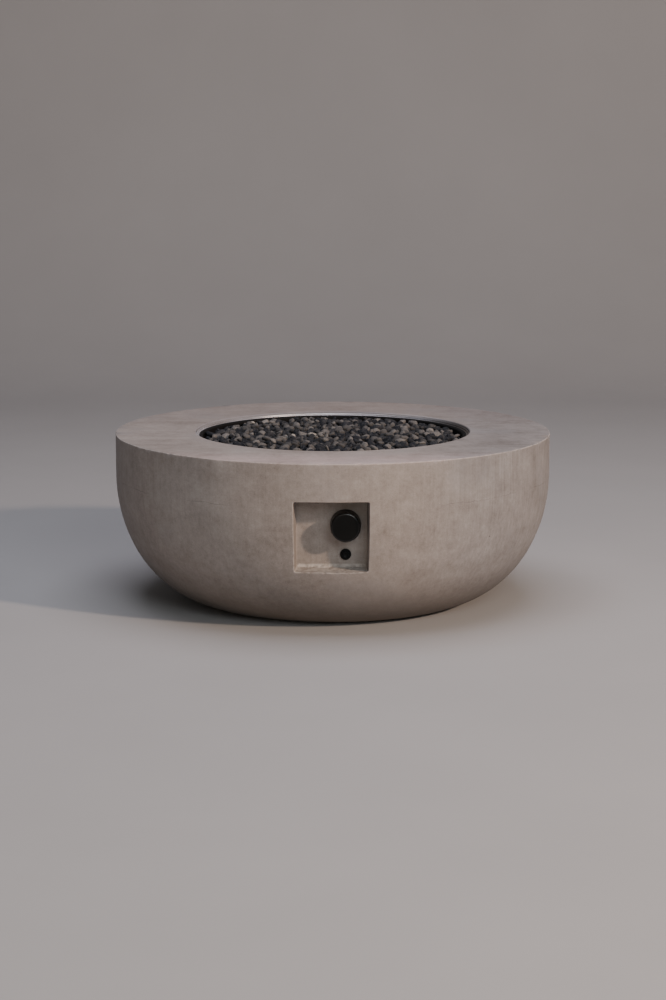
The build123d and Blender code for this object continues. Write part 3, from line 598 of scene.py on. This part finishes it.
# The burner pan is spun from sheet steel and hangs on the ledge by its flange. Its inside is black
# from heat-proof paint, and the rolled hem at its edge is left bare and polished, with painted shade on
# its right.
pan_sheet = 0.0015
pan_gap = 0.0033
pan_depth = 0.0725
pan_outer = ledge_radius - pan_gap
pan_inner = pan_outer - pan_sheet
pan_floor = ledge_z + pan_sheet - pan_depth
pan_under = pan_floor - pan_sheet
pan_corner = 0.012
flange_gap = 0.0003
flange_bend = 0.003
flange_radius = opening_radius - flange_gap
hem_width = 0.0032
hem_height = 0.004
hem_round = 0.0014
hem_outer_round = 0.0005
nipple_hole = 0.0109
pan_steps = 360


def spin(outline, steps, centre, upright):
    """A closed outline of radius and depth turned about an upright line, or about a line along Y,
    through centre: the two other coordinates are radius times cos and sin of the angle."""
    angle = 2 * math.pi * np.arange(steps)[:, None] / steps
    first, second = outline[:, 0] * np.cos(angle), outline[:, 0] * np.sin(angle)
    depth = np.broadcast_to(outline[:, 1], first.shape)
    order = [first, second, depth] if upright else [first, depth, second]
    points = (np.stack(order, -1) + np.asarray(centre)).reshape(-1, 3)
    index = np.pad(np.arange(first.size).reshape(first.shape), ((0, 1), (0, 1)), mode="wrap")
    return points, [quads(index)]


def pan_finish(place):
    """Black paint with soft heat marks, and a bare hem polished round the ring, with painted shade on its
    right
    """
    bare = painted(place, "bare")
    soot = cloud(place, 26.0, 4.0, 0.6)
    paint = blend_colour(soot, (0.003, 0.003, 0.0035, 1), (0.012, 0.011, 0.011, 1))
    tint = cloud(place, 5.0, 2.0, 0.5)
    steel = tint.node("ShaderNodeValToRGB", {"stops": [
        (0.35, (0.54, 0.52, 0.53)),
        (0.50, (0.64, 0.63, 0.66)),
        (0.65, (0.50, 0.52, 0.58)),
    ]}, {"Fac": tint})
    # Painted shade: the hem's steel darkens towards the right, where the rim shades it
    steel = blend_colour(band(along(place, "X"), 0.20, 0.335), steel, (0.15, 0.13, 0.12, 1))
    fine = cloud(stretched(place, (60.0, 60.0, 900.0)), 1.0, 2.0, 0.6)
    return {
        "Base Color": blend_colour(bare, paint, steel),
        "Metallic": 0.75 * bare,
        "Roughness": 0.70 + 0.2 * (soot - 0.5) - 0.36 * bare,
        "Specular IOR Level": 0.15,
        "Normal": bumped(soot + 0.02 * fine, 0.0003, 0.3),
    }


flange_top = ledge_z + pan_sheet
hem_top = flange_top + hem_height
hem_inside = flange_radius - hem_width
outer_corner = pan_corner + pan_sheet
inner_bend = flange_bend + pan_sheet
pan_outline = np.vstack([
    run((nipple_hole, pan_under), (pan_outer - outer_corner, pan_under), 8),
    arc((pan_outer - outer_corner, pan_under + outer_corner), outer_corner, -90, 0, 7),
    run((pan_outer, pan_under + 0.02), (pan_outer, ledge_z - 0.004), 5),
    arc((pan_outer + flange_bend, ledge_z - flange_bend), flange_bend, 180, 90, 5),
    run((pan_outer + 2 * flange_bend, ledge_z), (flange_radius, ledge_z), 4),
    run((flange_radius, ledge_z), (flange_radius, hem_top - hem_outer_round - 0.0002), 3),
    arc((flange_radius - hem_outer_round, hem_top - hem_outer_round), hem_outer_round, 0, 90, 6),
    arc((hem_inside + hem_round, hem_top - hem_round), hem_round, 90, 180, 6),
    run((hem_inside, hem_top - hem_round - 0.0002), (hem_inside, flange_top + 0.0006), 3),
    arc((hem_inside - 0.0006, flange_top + 0.0006), 0.0006, 0, -90, 4),
    run((hem_inside - 0.0008, flange_top), (hem_inside - 0.0045, flange_top), 3),
    run((hem_inside - 0.0045, flange_top), (pan_inner + 0.006, flange_top), 3),
    arc((pan_inner + inner_bend, flange_top - inner_bend), inner_bend, 90, 180, 6),
    run((pan_inner, flange_top - 0.006), (pan_inner, pan_floor + pan_corner), 6),
    arc((pan_inner - pan_corner, pan_floor + pan_corner), pan_corner, 0, -90, 7),
    run((pan_inner - pan_corner - 0.004, pan_floor), (nipple_hole, pan_floor), 8),
    [(nipple_hole, pan_floor)],
])
pan_points, pan_faces = spin(pan_outline, pan_steps, (0, 0, 0), True)
pan_paint = make_material("pan_paint_and_hem", pan_finish)
pan = make_piece("burner_pan_sheet", pan_points, pan_faces, pan_paint)
hem_rows = (pan_outline[:, 1] > flange_top - 0.0001) & (pan_outline[:, 0] > hem_inside - 0.004)
paint_points(pan, "bare", np.tile(hem_rows.astype(float), pan_steps))
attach(pan, "bowl")
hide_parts("burner_pan")

# The gas way under the pan is bought in: a stainless double ring burner with its lock nut and mixer,
# a brass jet and elbow, and a bent aluminium tube with two brass nuts. They stay as turned and drilled.


def dress(material, *names):
    """Gives a finish to nodes of the frame, whose shapes stay"""
    for name in names:
        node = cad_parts[name]
        node.data.materials.clear()
        node.data.materials.append(material)


def metal(dark, light, rough, spots, grain):
    """Recipe for a worked metal: two tones in patches, brushed grain along one axis, uneven shine"""
    def recipe(place):
        patch = cloud(place, spots, 4.0, 0.6)
        brushed = cloud(stretched(place, grain), 1.0, 3.0, 0.6)
        return {
            "Base Color": blend_colour(band(patch, 0.3, 0.7), (*dark, 1), (*light, 1)),
            "Metallic": 1.0,
            "Roughness": rough + 0.25 * (patch - 0.5) + 0.12 * (brushed - 0.5),
            "Normal": bumped(brushed, 0.0002, 0.3),
        }
    return recipe


burner_steel = make_material("heat_tinted_steel", metal(
    (0.20, 0.16, 0.13), (0.48, 0.45, 0.43), 0.42, 28.0, (240.0, 240.0, 240.0)))
brass = make_material("turned_brass", metal(
    (0.46, 0.31, 0.12), (0.68, 0.52, 0.25), 0.34, 60.0, (900.0, 120.0, 900.0)))
tube_metal = make_material("drawn_aluminium", metal(
    (0.60, 0.60, 0.61), (0.80, 0.80, 0.81), 0.38, 40.0, (600.0, 60.0, 600.0)))
zinc = make_material("zinc_plated_steel", metal(
    (0.46, 0.47, 0.49), (0.70, 0.71, 0.71), 0.36, 90.0, (400.0, 400.0, 90.0)))
dress(burner_steel, "burner_ring", "burner_lock_nut", "air_mixer")
dress(brass, "gas_orifice", "elbow_fitting", "tube_nuts")
dress(tube_metal, "gas_tube")

# The gas valve is screwed to a plated plate behind the panel: a brass body and bonnet with a turning
# plug, a plated stem, a push pin, a return spring and the safety magnet with its brass nut.
dress(brass, "valve_body", "valve_bonnet", "valve_plug", "magnet_unit", "thermocouple_nut")
dress(zinc, "valve_screws", "valve_bracket", "bracket_screws", "valve_stem", "push_pin")
knob_x, knob_z = 0.032, 0.263
spring_front, spring_back = -0.4284, -0.4204
spring_radius = 0.0053
spring_wire = 0.001
spring_turns = 4


def wound(centre, radius, wire, front, back, turns):
    """Wire of round section on a helix along Y: the angle grows evenly, and the depth goes from front to
    back over the middle turns, so that the last three quarters of a turn lie flat at each end."""
    steps, sides, flat_turns = 24, 8, 0.75
    turn = np.linspace(0, turns, steps * turns + 1)[:, None]
    climb = np.clip((turn - flat_turns) / (turns - 2 * flat_turns), 0, 1)
    section = 2 * math.pi * np.arange(sides) / sides
    reach = radius + wire / 2 * np.cos(section)
    depth = front + wire / 2 + (back - front - wire) * climb + wire / 2 * np.sin(section)
    x, z = reach * np.cos(2 * math.pi * turn), reach * np.sin(2 * math.pi * turn)
    index = np.arange(x.size).reshape(x.shape)
    points = np.stack([centre[0] + x, depth, centre[1] + z], -1).reshape(-1, 3)
    tube = quads(np.pad(index, ((0, 0), (0, 1)), mode="wrap"))
    return points, [tube, np.stack([index[0, ::-1], index[-1]])]


def seat_spring(spring, node):
    """Puts a spring in a node's place: ties it to the bowl, hides the node and gives the spring its own
    mesh
    """
    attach(spring, "bowl")
    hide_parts(node)
    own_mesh(spring)


spring = make_piece("stem_return_spring", *wound(
    (knob_x, knob_z), spring_radius, spring_wire, spring_front, spring_back, spring_turns), zinc)
seat_spring(spring, "stem_spring")

# The spark igniter goes through the panel: a black barrel with a screwed bezel, a push button with a
# shallow dished face, one round cell, a contact spring and two plated blades at the back.
button_x, button_z = 0.032, 0.192
bezel_radius = 0.0127
bezel_height = 0.006
bezel_bore = 0.0083
bezel_round = 0.0012
bore_round = 0.0008
button_radius = 0.0082
button_stand = 0.0045
button_length = 0.016
button_dish = 0.0008
button_round = 0.0014
turned_steps = 96


def moulded(dark, light, rough, scale):
    """Recipe for moulded plastic or rubber: one tone with a faint bloom, fine moulded texture"""
    def recipe(place):
        bloom = cloud(place, scale, 4.0, 0.6)
        texture = cloud(place, scale * 40.0, 2.0, 0.6)
        return {
            "Base Color": blend_colour(bloom, (*dark, 1), (*light, 1)),
            "Roughness": rough + 0.16 * (bloom - 0.5) + 0.10 * (texture - 0.5),
            "Specular IOR Level": 0.12,
            "Normal": bumped(texture, 0.0001, 0.35),
        }
    return recipe


igniter_black = make_material("igniter_plastic", moulded(
    (0.003, 0.003, 0.0035), (0.008, 0.008, 0.0085), 0.42, 45.0))
bezel_outline = np.vstack([
    run((bezel_radius, 0), (bezel_radius, -bezel_height + bezel_round), 4),
    arc((bezel_radius - bezel_round, -bezel_height + bezel_round), bezel_round, 0, -90, 6),
    run((bezel_radius - 0.0016, -bezel_height), (bezel_bore + 0.0009, -bezel_height), 3),
    arc((bezel_bore + bore_round, -bezel_height + bore_round), bore_round, -90, -180, 5),
    run((bezel_bore, -bezel_height + 0.0012), (bezel_bore, 0), 3),
    [(bezel_bore, 0.0)],
])
bezel_points, bezel_faces = spin(bezel_outline, turned_steps, (button_x, panel_front, button_z), False)
bezel = make_piece("igniter_bezel_ring", bezel_points, bezel_faces, igniter_black)
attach(bezel, "bowl")
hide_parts("igniter_bezel")


def spin_capped(outline, steps, centre):
    """An open outline that starts and ends on a line along Y through centre, turned about that line. Its
    two ends become poles, joined to the nearest ring by triangles."""
    angle = 2 * math.pi * np.arange(steps)[:, None] / steps
    ring = outline[1:-1]
    across, up = ring[:, 0] * np.cos(angle), ring[:, 0] * np.sin(angle)
    depth = np.broadcast_to(ring[:, 1], across.shape)
    points = np.stack([across, depth, up], -1).reshape(-1, 3)
    poles = np.array([(0, outline[0, 1], 0), (0, outline[-1, 1], 0)])
    index = np.arange(across.size).reshape(across.shape)
    index = np.vstack([index, index[:1]])
    first_pole = np.full(steps, across.size)
    front = np.stack([first_pole, index[1:, 0], index[:-1, 0]], -1)
    back = np.stack([first_pole + 1, index[:-1, -1], index[1:, -1]], -1)
    return np.vstack([points, poles]) + np.asarray(centre), [quads(index), np.vstack([front, back])]


button_front = -bezel_height - button_stand
button_outline = np.vstack([
    [(0, button_front + button_dish), (0.0044, button_front + button_dish),
     (0.0052, button_front + 0.0002), (0.0058, button_front)],
    arc((button_radius - button_round, button_front + button_round), button_round, -90, 0, 7),
    run((button_radius, button_front + 0.002), (button_radius, button_front + button_length), 6),
    [(button_radius, button_front + button_length), (0, button_front + button_length)],
])
button_points, button_faces = spin_capped(
    button_outline, turned_steps, (button_x, panel_front, button_z))
button = make_piece("igniter_push_button", button_points, button_faces, igniter_black)
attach(button, "igniter_button")
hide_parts("igniter_button")


def cell_sleeve(place):
    """Plain green sleeve of a round cell, a little scuffed"""
    scuff = cloud(place, 120.0, 4.0, 0.6)
    return {
        "Base Color": blend_colour(scuff, (0.035, 0.085, 0.050, 1), (0.075, 0.160, 0.095, 1)),
        "Roughness": 0.34 + 0.2 * (scuff - 0.5),
        "Normal": bumped(scuff, 0.0001, 0.2),
    }


dress(igniter_black, "igniter_barrel")
dress(make_material("cell_sleeve", cell_sleeve), "igniter_battery")
dress(zinc, "igniter_terminals")
contact_front, contact_back = -0.4440, -0.4307
contact_radius = 0.00345
contact_wire = 0.0009
contact_turns = 6
contact = make_piece("button_contact_spring", *wound(
    (button_x, button_z), contact_radius, contact_wire, contact_front, contact_back, contact_turns), zinc)
seat_spring(contact, "button_spring")

# The leads are factory-fitted: a red high-tension wire in soft black boots, a ceramic sleeve round the
# steel electrode, and the copper capillary of the thermocouple with its probe.


def glazed(place):
    """White ceramic with a faint cream glaze and a few dark specks"""
    speck = pits(place, 420.0, 0.16, 0.88)
    glaze = cloud(place, 150.0, 3.0, 0.55)
    colour = blend_colour(glaze, (0.70, 0.66, 0.58, 1), (0.86, 0.83, 0.77, 1))
    return {
        "Base Color": blend_colour(0.6 * speck, colour, (0.20, 0.16, 0.13, 1)),
        "Roughness": 0.28 + 0.2 * (glaze - 0.5),
        "Normal": bumped(glaze, 0.0001, 0.2),
    }


boot_rubber = make_material("boot_rubber", moulded(
    (0.018, 0.018, 0.018), (0.045, 0.043, 0.042), 0.72, 70.0))
lead_insulation = make_material("lead_insulation", moulded(
    (0.26, 0.030, 0.022), (0.40, 0.055, 0.040), 0.45, 50.0))
copper = make_material("drawn_copper", metal(
    (0.42, 0.17, 0.09), (0.76, 0.42, 0.29), 0.33, 60.0, (300.0, 300.0, 300.0)))
dress(boot_rubber, "lead_boots")
dress(lead_insulation, "ignition_lead")
dress(make_material("glazed_ceramic", glazed), "electrode_insulator")
dress(copper, "thermocouple_lead", "thermocouple_tip")

# The pilot group stands beside the burner on the pan's floor: a folded bracket with two screws and a
# slotted cover of plated steel, which keeps the rock off the electrode and the probe.
dress(zinc, "electrode_rod", "pilot_bracket", "pilot_screws", "pilot_guard")

# The rock is tumbled lava, 12 to 28 mm, poured loose over the burner and heaped a little in the middle.
# It is porous and dark, blue-black to brown-grey, with a few pale stones.
rock_reach = 0.312
rock_limit = pan_inner - 0.001
rock_seed = 23
heap_edge = 0.4070
heap_rise = 0.0042
edge_share = 0.86
edge_fall = 0.0035
shake = 0.24


def cube_sphere(cells):
    """Points of a unit ball and its four-sided faces, made from a cube's six grids pushed out to the
    ball, with the points on the cube's edges shared."""
    line = np.linspace(-1, 1, cells + 1)
    a, b = np.meshgrid(line, line, indexing="ij")
    ones = np.ones_like(a)
    sides = [(ones, a, b), (-ones, b, a), (b, ones, a), (a, -ones, b), (a, b, ones), (b, a, -ones)]
    points = np.stack([np.stack(side, -1) for side in sides])
    numbers = np.arange(points[..., 0].size).reshape(6, cells + 1, cells + 1)
    faces = np.vstack([quads(grid) for grid in numbers])
    shared, where = np.unique(points.reshape(-1, 3).round(6), axis=0, return_inverse=True)
    return shared / np.linalg.norm(shared, axis=1, keepdims=True), where.ravel()[faces]


def heap(spacing, sunk, uneven, drop_out, draw):
    """Stone places on a sunflower spiral, shaken: radius is spacing times the root of the count, the
    angle grows by the golden angle. The third number is where the stone's top comes to, which falls off
    from the middle with the square of the radius, and a little more beside the pan's wall."""
    count = int((rock_reach / spacing) ** 2)
    number = np.arange(count) + 0.5
    radius = spacing * np.sqrt(number)
    turn = number * math.pi * (3 - math.sqrt(5))
    spots = np.stack([radius * np.cos(turn), radius * np.sin(turn)], -1)
    spots = spots + draw.normal(0, shake * spacing, spots.shape)
    out = np.hypot(*spots.T) / rock_reach
    top = heap_edge - sunk + heap_rise * (1 - out ** 2)
    top = top - edge_fall * np.clip((out - edge_share) / (1 - edge_share), 0, 1)
    top = top + np.clip(draw.normal(0, uneven, count), -2 * uneven, uneven)
    kept = draw.random(count) > drop_out
    return np.column_stack([spots, top])[kept]


def stones(places, size_low, size_high, draw):
    """Each stone is the ball cut by nine random planes, which flatten it, then roughened by noise, drawn
    out along its own three axes and turned at random by a unit quaternion. It is then set with its top
    at the height given, and drawn in from the pan's wall where it would reach through it."""
    ball, faces = cube_sphere(3)
    count = len(places)
    planes = draw.normal(0, 1, (count, 9, 3))
    planes = planes / np.linalg.norm(planes, axis=2, keepdims=True)
    reach = np.einsum("pk,snk->spn", ball, planes)
    limit = draw.uniform(0.66, 0.95, (count, 1, 9)) / np.maximum(reach, 0.05)
    out = np.minimum(1.08, limit.min(2))
    shape = ball[None] * out[..., None]
    apart = 9.0 * np.arange(count)[:, None, None]
    shape = shape * (1 + 0.07 * value_noise(shape + apart, 0.6, 15)[..., None])
    half = draw.uniform(size_low, size_high, count)[:, None] * draw.uniform(
        (1.00, 0.80, 0.56), (1.40, 1.08, 0.80), (count, 3))
    shape = shape * half[:, None, :]
    w, x, y, z = draw.normal(0, 1, (4, count)) * np.array((1.0, 0.4, 0.4, 1.0))[:, None]
    norm = np.sqrt(w * w + x * x + y * y + z * z)
    w, x, y, z = w / norm, x / norm, y / norm, z / norm
    turn = np.array([
        [1 - 2 * (y * y + z * z), 2 * (x * y - z * w), 2 * (x * z + y * w)],
        [2 * (x * y + z * w), 1 - 2 * (x * x + z * z), 2 * (y * z - x * w)],
        [2 * (x * z - y * w), 2 * (y * z + x * w), 1 - 2 * (x * x + y * y)],
    ])
    points = np.einsum("ijs,spj->spi", turn, shape)
    points = points + (places - (0, 0, 1) * points[..., 2].max(1)[:, None])[:, None, :]
    over = np.clip(np.hypot(points[..., 0], points[..., 1]).max(1) - rock_limit, 0, None)
    inward = places[:, :2] / np.hypot(places[:, 0], places[:, 1])[:, None]
    points[..., :2] -= (over[:, None] * inward)[:, None, :]
    numbers = faces[None] + len(ball) * np.arange(count)[:, None, None]
    tone = draw.random(count) + 0.18 * value_noise(places * (1, 1, 0), 0.055, 17) - 0.08
    return points.reshape(-1, 3), numbers.reshape(-1, 4), np.repeat(np.clip(tone, 0, 1), len(ball))


def lava(place):
    """Porous stone: each stone has its own tone, mottled, with open pores and dusty high spots"""
    tone = painted(place, "stone_tone")
    base = tone.node("ShaderNodeValToRGB", {"stops": [
        (0.02, (0.012, 0.014, 0.019)),
        (0.24, (0.023, 0.025, 0.031)),
        (0.40, (0.056, 0.054, 0.055)),
        (0.68, (0.117, 0.109, 0.105)),
        (0.92, (0.186, 0.171, 0.161)),
        (0.985, (0.228, 0.208, 0.193)),
        (1.00, (0.38, 0.34, 0.30)),
    ]}, {"Fac": tone})
    mottle = cloud(place, 160.0, 4.0, 0.65)
    base = blend_colour(0.30 * band(mottle, 0.45, 0.75), base, (0.17, 0.152, 0.140, 1))
    pores = pits(place, 420.0, 0.34, 0.45)
    rough = cloud(place, 340.0, 3.0, 0.65)
    return {
        "Base Color": blend_colour(0.6 * pores, base, (0.008, 0.008, 0.009, 1)),
        "Roughness": 0.88 + 0.16 * (mottle - 0.5),
        "Specular IOR Level": 0.25,
        "Normal": bumped(rough - 0.7 * pores, 0.0012, 0.8),
    }


draw = np.random.default_rng(rock_seed)
lava_stone = make_material("lava_stone", lava)
lower_places = heap(spacing=0.0112, sunk=0.0065, uneven=0.0015, drop_out=0.0, draw=draw)
lower = stones(lower_places, size_low=0.0080, size_high=0.0125, draw=draw)
upper_places = heap(spacing=0.0140, sunk=0.0, uneven=0.0014, drop_out=0.22, draw=draw)
upper = stones(upper_places, size_low=0.0056, size_high=0.0145, draw=draw)
rock_points = np.vstack([lower[0], upper[0]])
rock_faces = np.vstack([lower[1], upper[1] + len(lower[0])])
rocks = make_piece("lava_rock_heap", rock_points, [rock_faces], lava_stone)
# The lower stones' tones are scaled by 0.55: painted shade in the gaps between the top stones
paint_points(rocks, "stone_tone", np.concatenate([0.55 * lower[2], upper[2]]))
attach(rocks, "bowl")
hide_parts("lava_rocks")


def packed_lava_painted_shade(place):
    """The same stone deep between the top stones, nearly black as painted shade, with faint lumps"""
    lumps = cloud(place, 70.0, 4.0, 0.6)
    return {
        "Base Color": blend_colour(lumps, (0.006, 0.006, 0.007, 1), (0.040, 0.037, 0.035, 1)),
        "Roughness": 0.92 + 0.1 * (lumps - 0.5),
        "Normal": bumped(lumps, 0.004, 0.8),
    }


dress(make_material("packed_lava_painted_shade", packed_lava_painted_shade), "rock_bed")

# The knob is a hollow moulding in satin black, a little wider at the back, with a rounded front edge. It
# is pushed onto the flat of the valve's stem.
knob_radius = 0.0354
knob_front_radius = 0.0344
knob_depth = 0.042
knob_gap = 0.010
knob_edge = 0.0055
knob_dish = 0.0006
knob_back_round = 0.0008
knob_wall = 0.003
knob_face = 0.004
knob_boss = 0.0085
knob_steps = 160
knob_front = -knob_gap - knob_depth
knob_outline = np.vstack([
    [(0, knob_front + knob_dish)],
    run((0.004, knob_front + knob_dish), (0.018, knob_front + 0.0004), 5),
    run((0.018, knob_front + 0.0004), (knob_front_radius - knob_edge, knob_front), 4),
    arc((knob_front_radius - knob_edge, knob_front + knob_edge), knob_edge, -90, -2, 13),
    run((knob_front_radius + 0.0001, knob_front + knob_edge + 0.002),
        (knob_radius, -knob_gap - knob_back_round), 12),
    arc((knob_radius - knob_back_round, -knob_gap - knob_back_round), knob_back_round, 0, 90, 4),
    [(knob_radius - knob_wall, -knob_gap), (knob_front_radius - knob_wall, knob_front + 0.012),
     (knob_front_radius - knob_wall - 0.002, knob_front + knob_face), (knob_boss, knob_front + knob_face),
     (knob_boss, -knob_gap - 0.001), (knob_boss - 0.001, -knob_gap), (0, -knob_gap)],
])


def knob_finish(place):
    """Satin black moulding, whose rounded front edge is rubbed to a shine"""
    satin = moulded((0.0025, 0.0025, 0.0027), (0.006, 0.006, 0.0062), 0.36, 30.0)(place)
    return {**satin, "Coat Weight": 0.7 * painted(place, "rubbed"), "Coat Roughness": 0.20}


knob_points, knob_faces = spin_capped(knob_outline, knob_steps, (knob_x, panel_front, knob_z))
knob_black = make_material("knob_satin_black", knob_finish)
knob = make_piece("turning_knob", knob_points, knob_faces, knob_black)
reach, depth = knob_outline[1:-1].T
edge_rows = (depth < knob_front + knob_edge) & (reach > knob_front_radius - 0.8 * knob_edge)
paint_points(knob, "rubbed", np.append(np.tile(edge_rows.astype(float), knob_steps), (0, 0)))
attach(knob, "knob")
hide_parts("control_knob")

# The stage: a pale floor that sweeps up behind into a plain backdrop, soft light from all round, a broad
# warm key low on the right, and the camera a little above the rim.
sweep_half = 45.0
sweep_front = -45.0
sweep_start = 3.6
sweep_radius = 2.2
sweep_top = 5.0
sweep_columns = 9


def pale_floor(place):
    """Pale matt paint with the faintest mottling"""
    mottle = cloud(place, 1.6, 4.0, 0.6)
    return {
        "Base Color": blend_colour(mottle, (0.41, 0.40, 0.40, 1), (0.46, 0.45, 0.45, 1)),
        "Roughness": 0.85 + 0.1 * (mottle - 0.5),
    }


side_line = np.vstack([
    run((sweep_front, 0), (sweep_start, 0), 12),
    arc((sweep_start, sweep_radius), sweep_radius, -90, 0, 17),
    [(sweep_start + sweep_radius, sweep_top)],
])
x, y = np.meshgrid(np.linspace(-sweep_half, sweep_half, sweep_columns), side_line[:, 0], indexing="ij")
sheet = np.stack([x, y, np.broadcast_to(side_line[:, 1], x.shape)], -1).reshape(-1, 3)
floor_faces = quads(np.arange(len(sheet)).reshape(x.shape))
floor = make_piece("studio_floor", sheet, [floor_faces], make_material("pale_floor", pale_floor))


def area_light(name, place, target, size, power, colour):
    """Square soft light at a place, facing its target"""
    lamp = bpy.data.lights.new(name, "AREA")
    lamp.size = size
    lamp.energy = power
    lamp.color = colour
    light = bpy.data.objects.new(name, lamp)
    light.location = place
    way = np.subtract(target, place)
    flat = math.hypot(way[0], way[1])
    light.rotation_euler = (math.atan2(flat, -way[2]), 0, math.atan2(way[1], way[0]) - math.pi / 2)
    bpy.context.scene.collection.objects.link(light)


area_light("warm_key", place=(5.20, -4.20, 3.17), target=(0, -0.45, 0.26),
           size=0.36, power=385, colour=(1.0, 0.76, 0.59))
area_light("overhead", place=(0, -0.3, 4.5), target=(0, 0, 0.4),
           size=3.4, power=125, colour=(0.88, 0.88, 0.98))
area_light("front_fill", place=(1.8, -6.2, 3.2), target=(0, 0, 0.25),
           size=2.6, power=118, colour=(0.92, 0.98, 1.0))
area_light("low_front", place=(-0.8, -7.0, 1.3), target=(0, 0, 0.25),
           size=2.5, power=40, colour=(1.0, 0.90, 0.74))
world = bpy.data.worlds.new("soft_sky")
world.use_nodes = True
sky = world.node_tree.nodes["Background"].inputs
sky["Color"].default_value = (0.78, 0.88, 1.0, 1)
sky["Strength"].default_value = 0.065
bpy.context.scene.world = world

camera_tilt = 9.987
camera_turn = 0.29
lens = bpy.data.cameras.new("camera")
lens.lens = 84.915
lens.sensor_width = 36.0
camera = bpy.data.objects.new("camera", lens)
camera.location = (0.030, -5.7591, 1.2527)
camera.rotation_euler = (math.radians(90 - camera_tilt), 0, math.radians(camera_turn))
bpy.context.scene.collection.objects.link(camera)
bpy.context.scene.camera = camera
